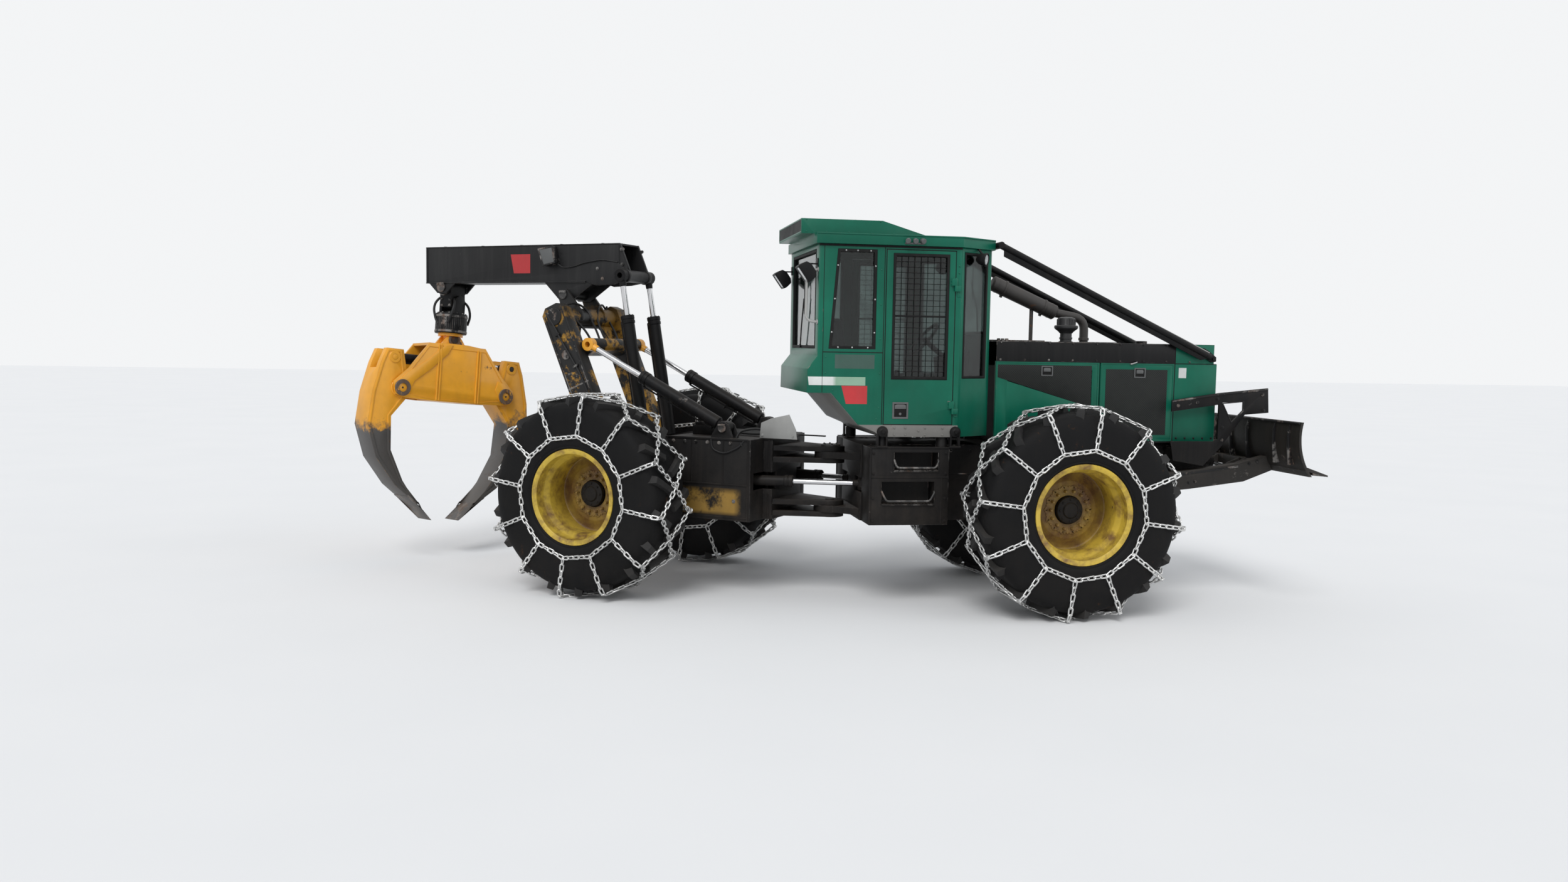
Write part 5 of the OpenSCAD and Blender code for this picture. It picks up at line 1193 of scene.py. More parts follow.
def make_cylinders():
    """Five kinds of cylinder: blade, arch and boom in pairs, steering, and the grapple's ram."""
    lean = radians(ARCH_LEAN)
    arch_eye = (-2160 + 210*cos(lean) - 1050*sin(lean), 1260 + 210*sin(lean) + 1050*cos(lean))
    cylinder_pair("blade", FRONT, (2950, 1470), (3905, 1215), 250, 760, 560, 300, black_paint)
    cylinder_pair("arch", REAR, (-870, 1560), arch_eye, 448, 1020, 860, 440, amber_paint)
    cylinder_pair("boom", REAR, (-1860, 1325), (-2150, 2985), 245, 1290, 880, 560, black_paint)
    eye_x, eye_y = STEER_EYE
    base_x, base_y, base_z = STEER_BASE
    c, s = cos(ARTICULATION), sin(ARTICULATION)
    for side, label in ((-1, "right"), (1, "left")):
        eye = (eye_x*c + side*eye_y*s, side*(side*eye_y*c - eye_x*s))
        line = (eye[0] - base_x, eye[1] - base_y)
        reach = hypot(*line)
        aim = Matrix.Rotation(atan2(line[1], line[0]), 4, "Z") @ Matrix.Rotation(pi/2, 4, "X")
        place = REAR @ (MIRROR if side < 0 else SAME) @ shift(base_x, base_y, base_z) @ aim
        barrel = make_barrel(620, 555, 48, 25, 50, 25, 80, line=False)
        shaft, end = make_rod(reach - 765, reach, 25, 50, 70)
        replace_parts(fit_up(barrel, "steer_barrel_%s_made" % label, black_paint, "steer_barrel_" + label,
            place=place), "steer_barrel_" + label)
        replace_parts(fit_up(shaft, "steer_rod_%s_made" % label, chrome, "steer_rod_" + label, place=place),
            "steer_rod_" + label)
        fit_up(end, "steer_rod_eye_" + label, black_paint, "steer_rod_" + label, place=place)
    ram = TURNED @ shift(-680, 0, -650)
    barrel = make_barrel(750, 640, 55, 34, 56, 28, 143.4, line=False)
    shaft, end = make_rod(612, 1360, 34, 56, 143.4)
    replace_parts(fit_up(barrel, "grapple_barrel_made", black_paint, "grapple_barrel", place=ram),
        "grapple_barrel")
    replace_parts(fit_up(shaft, "grapple_rod_made", chrome, "grapple_rod", place=ram), "grapple_rod")
    fit_up(end, "grapple_rod_eye", black_paint, "grapple_rod", place=ram)


def make_axles():
    """Each axle: differential bowl, tube, planetary ends with their flanges, and spindles."""
    half = [(0, -1078), (56, -1078), (60, -1074), (60, -990), (136, -990), (142, -984), (142, -925),
        (131, -920), (131, -905), (142, -900), (142, -800), (135, -788), (135, -330), (150, -290), (186, -215),
        (208, -165), (215, -140), (215, -60), (222, -56), (222, -34), (215, -30)]
    for name, place, body in (("front_axle", FRONT @ shift(FRONT_AXLE_X, 0, AXLE_Z), "front_frame"),
            ("rear_axle", REAR @ shift(REAR_AXLE_X, 0, AXLE_Z), "rear_frame")):
        beam = turned(half + [(r, -y) for r, y in reversed(half)], "Y", 56)
        bolts = [shift(0, -34, 0) @ Matrix.Rotation(a, 4, "Y") @ shift(0, 0, 221) for a in angles(16)]
        nose = turned([(0, 280), (44, 280), (50, 274), (50, 230), (92, 215), (110, 190), (110, 60)], "X", 32)
        if body == "front_frame":
            nose.data.transform(Matrix.Rotation(pi, 4, "Z"))
        piece = fit_up([beam, copies(rivet(10, 7), bolts), nose], name + "_made", black_paint, body,
            place=place)
        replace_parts(piece, name)


# Cab
SIDE_WINDOW = [(-184, 2310), (235, 2310), (235, 3175), (-116, 3175)]
CORNER = FRONT @ shift(1000, 700, 0) @ Matrix.Rotation(-atan2(230, 350), 4, "Z")
CORNER_RIGHT = FRONT @ MIRROR @ FRONT.inverted() @ CORNER


def grown(points, by):
    """An outline moved outward by the same distance on every side of its middle."""
    mid_x = sum(p[0] for p in points)/len(points)
    mid_z = sum(p[1] for p in points)/len(points)
    return [(x + (by if x > mid_x else -by), z + (by if z > mid_z else -by)) for x, z in points]


def make_window_seals():
    """The seals, their rivets and the wipers of the cab's windows."""
    side = border(grown(SIDE_WINDOW, -1), 26, -702, -678, 3)
    fit_both(side, "side_window_seals", seal_rubber)
    bolts = []
    for a, b in zip(SIDE_WINDOW, SIDE_WINDOW[1:] + SIDE_WINDOW[:1]):
        for i in range(3):
            t = (i + 0.5)/3
            x, z = a[0] + (b[0] - a[0])*t, a[1] + (b[1] - a[1])*t
            bolts.append((x + (14 if x < 0 else -14 if x > 200 else 0), -702, z
                + (14 if z < 2320 else -14 if z > 3165 else 0)))
    fit_both(at_spots(rivet(8, 5), bolts), "side_window_bolts", bright_steel)
    for place, name in ((CORNER, "left"), (CORNER_RIGHT, "right")):
        seal = border(oblong((41, 2066), (368, 3174)), 20, -24, 2, 3)
        fit_up(seal, "corner_window_seal_" + name, seal_rubber, place=place)
    screen = border(oblong((-409, 2466), (409, 3174)), 24, 1322, 1353, 3, "X")
    back = border(oblong((-569, 2311), (569, 3174)), 26, -282, -256, 3, "X")
    fit_up([screen, back], "screen_seals", seal_rubber)
    wiper = joined([pipe([(1356, -120, 2450), (1362, -60, 2700), (1358, 120, 2960)], 6, 40),
        bar((1350, -120, 2450), (1368, -120, 2450), 16), block((1351, 60, 2790), (1359, 72, 3120), 2, 1)])
    rear_wiper = joined([pipe([(-288, 100, 2330), (-292, 40, 2500), (-290, -60, 2760)], 6, 40),
        bar((-298, 100, 2330), (-280, 100, 2330), 16), block((-290, -70, 2620), (-283, -58, 2940), 2, 1)])
    fit_up([wiper, rear_wiper], "wipers", black_paint)


def make_doors():
    """On each door: the seal and guard of its window, the latch in its recess, and its hinges' bolts."""
    for side, label in ((-1, "right"), (1, "left")):
        place = FRONT @ (SAME if side < 0 else MIRROR)
        body = "door_" + label
        seal = border(oblong((381, 2051), (889, 3149)), 24, -705, -679, 4)
        fit_up(seal, "door_seal_" + label, seal_rubber, body, place=place)
        frame_bar = pipe([(400, -689, 2072), (400, -689, 3128), (870, -689, 3128), (870, -689, 2072),
            (400, -689, 2072)], 6, 18)
        wires = [copies(bar((400, -689, 0), (870, -689, 0), 2.6, 0.6, 6),
            [Matrix.Translation((0, 0, (2072 + i*48)*MM)) for i in range(1, 22)]),
            copies(bar((0, -685, 2072), (0, -685, 3128), 2.6, 0.6, 6),
            [Matrix.Translation(((400 + i*58.75)*MM, 0, 0)) for i in range(1, 8)])]
        middle = block((396, -694, 2598), (874, -684, 2614), 2, 1)
        fit_up([frame_bar, middle] + wires, "door_guard_" + label, black_paint, body, place=place)
        rim_box = border(oblong((399, 1705), (543, 1851)), 16, -706, -697, 2.5)
        paddle = outline([(420, 1792), (522, 1792), (522, 1824), (500, 1832), (442, 1832), (420, 1824)], -707,
            -699, 2.5)
        lock = turned([(0, 6), (10, 6), (12, 4), (12, 0)], "Z", 16)
        lock.data.transform(spot(470, -702, 1748))
        fit_up([rim_box, paddle, lock], "door_latch_" + label, latch_grey, body, place=place)
        pocket = outline(oblong((412, 1718), (530, 1838)), -702.5, -698, 1)
        fit_up(pocket, "door_latch_pocket_" + label, seal_rubber, body, place=place)
        bolts = [(x, -704, z) for z in (1815, 1845, 2895, 2925) for x in (908, 925)]
        plates = boxes([(898, -706, z, 934, -699, z + 70, 2.5) for z in (1795, 2875)])
        fit_up(plates + [at_spots(hex_bolt(13, 6, 8), bolts)], "door_hinge_leaves_" + label, green_edge, body,
            place=place)
        leaf = [at_spots(hex_bolt(13, 6, 8), [(978, -699, z) for z in (1740, 1770, 2800, 2830, 2990, 3050)])]
        leaf += boxes([(962, -705, z, 994, -698, z + 62, 2.5) for z in (1722, 2782)])
        fit_up(leaf, "post_hinge_leaves_" + label, green_edge, place=place)
        gasket = border(oblong((316, 1651), (949, 3184)), 7, -698, -690, 1)
        fit_up(gasket, "door_gasket_" + label, seal_rubber, place=place)


def make_cab_marks():
    """The cab's stripe, red patch, old band and the joints between its plates."""
    stripe = outline([(-352, 1993), (150, 1993), (150, 2067), (-362, 2067)], -701.2, -699.2, 0)
    fit_both(stripe, "cab_stripes", white_stripe)
    patch = outline([(-63, 1990), (168, 1990), (168, 1832), (-20, 1832)], -700.9, -699.2, 0)
    fit_up(patch, "cab_red_patch", red_patch)
    grime = outline([(-125, 2140), (228, 2140), (228, 2262), (-125, 2262)], -700.5, -699.4, 0)
    fit_both(grime, "cab_old_band", old_band)
    joint = boxes([(-236, -702, 1930, -232, -699, 3212, 0.8), (-232, -702, 2278, 300, -698, 2286, 1.5),
        (300, -702, 1655, 306, -698, 3200, 1.5), (-280, -705, 3196, 1000, -698, 3214, 2)])
    fit_both(joint, "cab_joints", seal_rubber)


def make_cab_hardware():
    """The grab handle, the cab's mounts, its bolts and its lamps."""
    handle = joined([pipe([(-281, -672, 2990), (-366, -672, 2985), (-382, -672, 2900), (-385, -672, 2580),
        (-350, -672, 2545), (-281, -672, 2540)], 12, 45), bar((-289, -672, 2990), (-279, -672, 2990), 24),
        bar((-289, -672, 2540), (-279, -672, 2540), 24)])
    fit_up(handle, "grab_handle", guard_grey)
    pieces = []
    for x in (314, 978):
        pieces += [block((x - 52, -716, 1449), (x + 52, -640, 1466), 3, 1),
            block((x - 46, -712, 1464), (x - 32, -652, 1600), 3, 1),
            block((x + 32, -712, 1464), (x + 46, -652, 1600), 3, 1),
            turned([(0, -34), (20, -34), (24, -30), (44, -26), (50, -16), (50, 16), (44, 26), (24, 30),
            (20, 34), (0, 34)], "Y", 32, (x, -690, 1590)), at_spots(hex_bolt(30, 14, 22), [(x, -722, 1590)])]
    fit_both(pieces, "cab_mount_brackets", black_paint)
    bolts = [(x, -701, z) for x in (420, 520, 700, 860) for z in (1565, 1625)] + [(640, -701, 1600)]
    fit_both(at_spots(hex_bolt(15, 6, 10), bolts), "sill_bolts", grey_sill)
    post = at_spots(rivet(8, 4), [(x, -700, z) for x,
        z in ((-208, 2100), (-208, 2240), (275, 2400), (275, 2700), (275, 3000), (275, 2100), (275, 1800),
        (-140, 1950), (255, 1700))])
    fit_both(post, "cab_side_bolts", green_edge)
    # Small lamps over the door, on the gutter
    lamps = [block((470, -744, 3226), (640, -724, 3240), 3, 1)]
    for x, tilt in ((500, -0.3), (555, 0), (612, 0.35)):
        lamp = turned([(0, 0), (14, 0), (20, 8), (24, 30), (24, 44), (20, 48), (0, 48)], "Z", 20)
        lamp.data.transform(spot(x, -736, 3262, Vector((tilt, -0.8, -0.25))))
        lamps += [lamp, block((x - 6, -742, 3236), (x + 6, -730, 3262), 2, 1)]
    fit_both(lamps, "gutter_lamps", latch_grey)
    # Round lamps under the roof's front corners
    corner = spot(1215, -640, 3120, Vector((0.75, -0.6, -0.1)))
    body = turned([(0, -62), (26, -62), (44, -40), (54, -10), (56, 14), (60, 18), (60, 30), (54, 34), (50, 28),
        (0, 24)], "Z", 32)
    body.data.transform(corner)
    arm = pipe([(1215, -640, 3150), (1195, -610, 3190), (1180, -590, 3218)], 10, 20)
    fit_both([body, arm], "corner_lamps", black_paint)
    lens = turned([(0, 5), (20, 4.5), (40, 2), (50, -4)], "Z", 32)
    lens.data.transform(corner @ Matrix.Translation((0, 0, 27*MM)))
    fit_both(lens, "corner_lamp_lenses", lamp_lens)
    # Work lights behind the cab
    tilt = shift(-375, -635, 2975) @ Matrix.Rotation(radians(-35), 4, "Y")
    shell = outline([(-48, -84), (-48, 84), (-20, 85), (32, 76), (50, 46), (50, -46), (32, -76), (-20, -85)],
        -84, 84, 5)
    fins = boxes([(48, y - 3, -42, 58, y + 3, 42, 1) for y in (-56, -28, 0, 28, 56)])
    rim_part = border(oblong((-82, -82), (82, 82)), 15, -55, -46, 3, "X")
    housing = joined([shell, rim_part] + fins)
    housing.data.transform(tilt)
    bracket = joined(boxes([(-398, -665, 3036, -281, -605, 3046, 2), (-398, -665, 3000, -388, -605, 3046, 2),
        (-290, -672, 3010, -280, -598, 3090, 2)]))
    piece = fit_both([housing, bracket], "work_lights_made", black_paint)
    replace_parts(piece, "work_lights")
    glass = outline(oblong((-68, -68), (68, 68)), -52, -47, 1, "X")
    glass.data.transform(tilt)
    fit_both(glass, "work_light_lenses", lamp_lens)


def make_roof():
    """The cooling unit's intake, seams and bolts, and the roof's gutter lip."""
    intake = border(oblong((-590, 3312), (590, 3434)), 12, -424, -414, 2, "X")
    fit_up(intake, "cooler_intake_frame", green_edge)
    fit_up(outline(oblong((-580, 3320), (580, 3428)), -421.5, -417, 0, "X"), "cooler_intake_mesh", mesh_black)
    bolts = [(x, -600, 3322) for x in (-380, -200, 0, 200, 400)] + [(x, -600, 3425) for x in (-380, 280)]
    lid = at_spots(rivet(8, 4), [(x, s*570, 3433, "Z") for x in (-390, -160, 60, 270) for s in (-1, 1)])
    fit_up([both_sides(at_spots(rivet(8, 4), bolts)), lid], "cooler_bolts", green_edge)
    lip = pipe([(-306, -727, 3300), (1008, -727, 3300), (1378, -478, 3300), (1378, 478, 3300),
        (1008, 727, 3300), (-306, 727, 3300)], 7, 10)
    seam = border(oblong((-160, -380), (240, 380)), 8, 3430, 3437, 1, "Z")
    vents = copies(block((0, -180, 3430), (14, 180, 3440), 3, 1),
        [Matrix.Translation((x*MM, 0, 0)) for x in range(-130, 220, 34)])
    fit_up([lip, seam, vents], "roof_trim", green_edge)
    clamps = boxes([(1374, s*410 - 28, 3228, 1392, s*410 + 28, 3292, 4) for s in (-1, 1)])
    clamps.append(at_spots(hex_bolt(22, 10, 15), [(1390, s*410 + t, 3240, "X") for s in (-1, 1)
        for t in (-14, 14)]))
    fit_up(clamps, "riser_clamps", black_paint)
    foot = [(3395, 2335), (3420, 2375), (3475, 2345), (3548, 2290), (3548, 2250), (3500, 2240), (3440, 2275)]
    plates = joined([outline(foot, -520, -499, 4), at_spots(hex_bolt(30, 16, 24), [(3515, -520, 2272)])])
    fit_both(plates, "riser_feet", black_paint)
    # A web under each riser, and a pale grey line along its top
    web = outline([(1440, 3238), (3440, 2312), (3440, 2274), (3380, 2262), (1440, 3160)], -540, -526, 3)
    fit_both(web, "riser_webs", black_paint)
    fit_both(pipe([(1420, -530, 3263), (3465, -530, 2324)], 13, 5, 1), "riser_worn_edges", guard_grey,
        "front_frame", "black_paint")


def make_steps():
    """The rungs and trims of the steps in the side boxes."""
    rungs = [pipe([(430, -699, 1340), (430, -716, 1330), (452, -716, 1272), (808, -716, 1272),
        (830, -716, 1330), (830, -699, 1340)], 9, 26),
        pipe([(322, -699, 1060), (322, -716, 1050), (362, -716, 976), (758, -716, 976), (798, -716, 1050),
        (798, -699, 1060)], 9, 26)]
    fit_both(rungs, "step_rungs", dusty_edge)
    trims = [border(oblong((418, 1244), (842, 1416)), 8, -704, -699, 2),
        border(oblong((308, 944), (812, 1156)), 8, -704, -699, 2),
        block((212, -707, 1440), (930, -690, 1456), 3, 1), block((205, -708, 765), (223, -690, 1445), 3, 1),
        block((215, -706, 1180), (928, -698, 1194), 3, 1), block((860, -704, 770), (872, -698, 1180), 2, 1)]
    grips = copies(block((-5, -28, 0), (5, 28, 5), 1, 1),
        [shift(x, -688, z) for z, first, last in ((1250, 455, 815), (950, 345, 785))
        for x in range(first, last, 30)])
    bolts = at_spots(hex_bolt(18, 9, 13), [(x, -700, z) for x in (240, 900) for z in (800, 1000, 1220, 1400)])
    fit_both(trims + [grips, bolts], "side_box_trims", black_paint)


SWELL, PRESSURE, SETTLED = 0.008, 4, 13
SEAMS, SEAM_DEPTH, SEAM_WIDTH = (-0.09, 0.09), 0.006, 0.014


def make_seat():
    """The seat: a padded cushion and back with piping, on a turned suspension, with its arms."""
    base = [turned([(0, 1591), (112, 1591), (112, 1606), (96, 1612), (88, 1640), (108, 1652), (84, 1664),
        (108, 1676), (84, 1690), (108, 1704), (84, 1720), (108, 1738), (90, 1760), (90, 1815), (0, 1815)], "Z",
        40, (440, 0, 0)), block((110, -215, 1808), (545, 215, 1838), 6),
        pipe([(60, 205, 2150), (60, 262, 2160), (330, 262, 2160)], 18, 40),
        pipe([(60, -205, 2150), (60, -262, 2160), (330, -262, 2160)], 18, 40)]
    fit_up(base, "seat_frame", dash_plastic)
    cushion = block((88, -222, 1838), (552, 222, 1958), 42, 5)
    back = block((-48, -214, 1975), (48, 214, 2590), 40, 5)
    back.data.transform(Matrix.Translation((0.095, 0, 0)) @ Matrix.Shear("XY", 4, (-0.115, 0)))
    back.data.transform(Matrix.Translation((0.2, 0, 0)))
    pads = []
    for pad, name in ((cushion, "seat_cushion"), (back, "seat_back")):
        pad.data.transform(FRONT)
        only(pad)
        shape = pad.modifiers.new("shape", "REMESH")
        shape.mode = "VOXEL"
        shape.voxel_size = 0.008
        bpy.ops.object.modifier_apply(modifier="shape")
        before = [v.co.copy() for v in pad.data.vertices]
        cloth = pad.modifiers.new("cloth", "CLOTH")
        cloth.settings.use_pressure = True
        cloth.settings.uniform_pressure_force = PRESSURE
        cloth.settings.effector_weights.gravity = 0
        for step in range(1, SETTLED + 1):
            bpy.context.scene.frame_set(step)
        bpy.ops.object.modifier_apply(modifier="cloth")
        bpy.context.scene.frame_set(1)
        for vertex, old in zip(pad.data.vertices, before):
            moved = vertex.co - old
            if moved.length > SWELL:
                vertex.co = old + moved.normalized()*SWELL
        for vertex in pad.data.vertices:
            across = vertex.co.y - PIVOT[1]
            for seam in SEAMS:
                depth = SEAM_DEPTH*max(0, 1 - abs(across - seam)/SEAM_WIDTH)
                if name == "seat_cushion" and vertex.co.z > 1.9:
                    vertex.co.z -= depth
                elif name == "seat_back" and vertex.normal.x > 0.5:
                    vertex.co.x -= depth
        only(pad)
        bpy.ops.object.shade_smooth()
        pad.name = pad.data.name = name
        pad.data.materials.clear()
        pad.data.materials.append(seat_fabric)
        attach(pad, "front_frame")
        pads.append(pad)
    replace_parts(pads[0], "seat")


def make_dash():
    """Gauges, levers and pedals."""
    gauges = [turned([(0, 4), (30, 4), (33, 8), (37, 8), (38, 0)], "Z", 28) for _ in range(3)]
    for gauge, y in zip(gauges, (-90, 0, 90)):
        gauge.data.transform(spot(1120, y, 2283, Vector((-0.235, 0, 0.97))))
    levers = []
    for y in (-210, -180, 180, 210):
        levers += [pipe([(700, y, 1592), (695, y, 1900), (670, y, 2060)], 8, 30),
            turned([(0, 70), (16, 66), (22, 48), (18, 22), (10, 0), (0, 0)], "Z", 16, (670, y, 2050))]
    pedals = [outline([(0, 0), (90, 40), (90, 48), (0, 10)], y - 45, y + 45, 3) for y in (-220, 220)]
    for pedal in pedals:
        pedal.data.transform(shift(1130, 0, 1592))
    fit_up(gauges + levers + pedals, "dash_controls", dash_plastic)


# Hood
HOOD_TOP = 2404


def make_hood_details():
    """Meshes, covers, seams, latches, lids and bolts of the hood and its front."""
    dark = [outline([(1424, 2079), (1424, 2193), (2329, 2193), (2329, 1811)], -502, -497, 1),
        outline(oblong((2468, 1560), (3074, 2165)), -502, -497, 1)]
    fit_both(dark, "panel_meshes", mesh_black, "front_frame", "hood_paint")
    cover = outline([(1514, 2046), (1514, 1624), (2341, 1624), (2341, 1808)], -501, -494, 1)
    fit_both(cover, "panel_lower_covers", green_paint, "front_frame", "hood_paint")
    seams = [border(oblong((1414, 1504), (2400, 2221)), 12, -503, -499, 1),
        border(oblong((2420, 1504), (3140, 2221)), 12, -503, -499, 1)]
    fit_both(seams, "panel_frames", green_edge, "front_frame", "hood_paint")
    latches, pockets = [], []
    for x, z in ((1897, 2140), (2800, 2134)):
        latches += [border(oblong((x - 56, z - 46), (x + 56, z + 46)), 11, -507, -500, 2),
            outline([(x - 34, z - 6), (x + 34, z - 6), (x + 34, z + 22), (x + 24, z + 28), (x - 24, z + 28),
            (x - 34, z + 22)], -507, -500, 2)]
        pockets.append(outline(oblong((x - 48, z - 38), (x + 48, z + 38)), -503.5, -500, 0.5))
    fit_both(latches, "panel_latches", latch_grey)
    fit_both(pockets, "panel_latch_pockets", seal_rubber)
    handle = pipe([(2700, -500, 2216), (2705, -516, 2214), (2762, -516, 2232), (2768, -500, 2236)], 6, 10)
    fit_both(handle, "panel_handles", bright_steel)
    label = outline(oblong((3186, 2092), (3262, 2186)), -501.2, -499.4, 0)
    fit_up(label, "blank_label", blank_white)
    rivets = [(x, -500, 1532) for x in range(3185, 3560, 88)] + [(x, -500, 2240)
        for x in range(1450, 3520, 230)]
    rivets += [(x, -500, 2392) for x in range(1450, 3520, 230)]
    fit_both(at_spots(hex_bolt(14, 7, 10), rivets), "hood_bolts", black_edge)
    joint = boxes([(3141, -502, 1505, 3149, -498, 2222, 1), (1412, -503, 2221, 3560, -498, 2227, 1.5),
        (3146, -502, 2229, 3152, -498, 2402, 1)])
    fit_both(joint, "hood_joints", seal_rubber)
    lids = [outline([(1460, -180), (1460, 180), (2060, 180), (2060, -180)], 2403, 2411, 4, "Z"),
        block((2330, 120, 2403), (2660, 380, 2412), 4, 1), block((2330, -380, 2403), (2660, -120, 2412), 4, 1)]
    cap_part = cap(52, 26, spot(2900, -300, 2404, "Z"))
    knobs = [cap(16, 26, spot(1440 + i*38, -462, 2404, "Z")) for i in range(3)]
    fit_up(lids + [cap_part] + knobs, "hood_top_lids", black_edge)
    vents = copies(block((0, -120, 2404), (12, 120, 2414), 3, 1),
        [Matrix.Translation(((x + 1500)*MM, 0, 0.006)) for x in range(0, 540, 36)])
    fit_up(vents, "hood_top_vents", black_edge)
    grille = outline(oblong((-438, 1582), (438, 2163)), 3538, 3542, 0, "X")
    fit_up(grille, "radiator_mesh", mesh_black)
    trim = [border(oblong((-446, 1574), (446, 2171)), 14, 3560, 3568, 2, "X"),
        at_spots(hex_bolt(16, 7, 11), [(3565, s*470, z, "X") for s in (-1, 1)
        for z in (1560, 1760, 1960, 2150)])]
    fit_up(trim, "radiator_trim", green_edge, "front_frame", "hood_paint")


def make_exhaust():
    """The silencer with its straps and the bent pipe down to the hood, and the intake's precleaner."""
    rear_end, front_end, foot_x, foot_y = Vector((1600, 250, 2970)), Vector((2260, 250, 2690)), 2560, 250
    line = front_end - rear_end
    length = line.length
    place = Matrix.Translation(rear_end*MM) @ line.to_track_quat("Z", "Y").to_matrix().to_4x4()
    drum = turned([(0, 0), (40, 0), (62, 5), (73, 16), (73, 60), (75, 62), (75, 70), (73, 72),
        (73, length - 72), (75, length - 70), (75, length - 62), (73, length - 60), (73, length - 16),
        (62, length - 5), (40, length), (0, length)], "Z", 48)
    straps = [ring(79, 72, z, z + 22, axis="Z", edge=2) for z in (130, length - 150)]
    made = joined([drum] + straps + boxes([(-10, -92, z - 2, 10, -74, z + 24, 2) for z in (130, length - 150)]))
    made.data.transform(place)
    down = pipe([tuple(front_end - line.normalized()*6), (foot_x, foot_y, 2640), (foot_x, foot_y, HOOD_TOP)],
        42, 110, 6)
    clamp = ring(50, 42, 0, 26, axis="Z", edge=2)
    clamp.data.transform(shift(foot_x, foot_y, HOOD_TOP + 26))
    foot = ring(72, 42, 0, 9, axis="Z", edge=2)
    foot.data.transform(shift(foot_x, foot_y, HOOD_TOP))
    stay = boxes([(1996, 241, HOOD_TOP, 2032, 259, 2745, 4), (1980, 210, HOOD_TOP, 2050, 290, HOOD_TOP + 9, 3)])
    piece = fit_up([made, down, clamp, foot] + stay, "exhaust_made", exhaust_metal)
    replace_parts(piece, "exhaust")
    cleaner = (2190, -200, HOOD_TOP + 1)
    bowl = turned([(0, -2), (66, -2), (66, 8), (54, 12), (54, 84), (62, 88), (66, 96), (80, 108), (106, 128),
        (110, 136), (110, 152), (104, 158), (88, 160), (84, 168), (84, 214), (78, 226), (50, 236), (0, 240)],
        "Z", 48, cleaner)
    ribs = copies(block((82, -3, 162), (88, 3, 216), 1, 1),
        [Matrix.Rotation(2*pi*i/20, 4, "Z") for i in range(20)])
    ribs.data.transform(shift(*cleaner))
    band = ring(60, 54, 30, 48, (0, 0, 0), "Z", 2)
    band.data.transform(shift(*cleaner))
    piece = fit_up([bowl, ribs, band], "precleaner_made", cleaner_plastic)
    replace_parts(piece, "precleaner")


# Rear frame, arch, boom and grapple
def pin_head(x, y, z, radius, height=14):
    """The head of a pin on the right side, with its keeper plate and bolts."""
    head = cap(radius, height, spot(x, y, z))
    keeper = outline([(x - radius*0.9, z + radius*0.35), (x + radius*0.9, z + radius*0.35),
        (x + radius*0.9, z + radius*0.95), (x - radius*0.9, z + radius*0.95)], y - height - 7, y - height + 2,
        2)
    bolt = at_spots(hex_bolt(18, 8, 12), [(x + s*radius*0.55, y - height - 7, z + radius*0.65)
        for s in (-1, 1)])
    return joined([head, keeper, bolt])


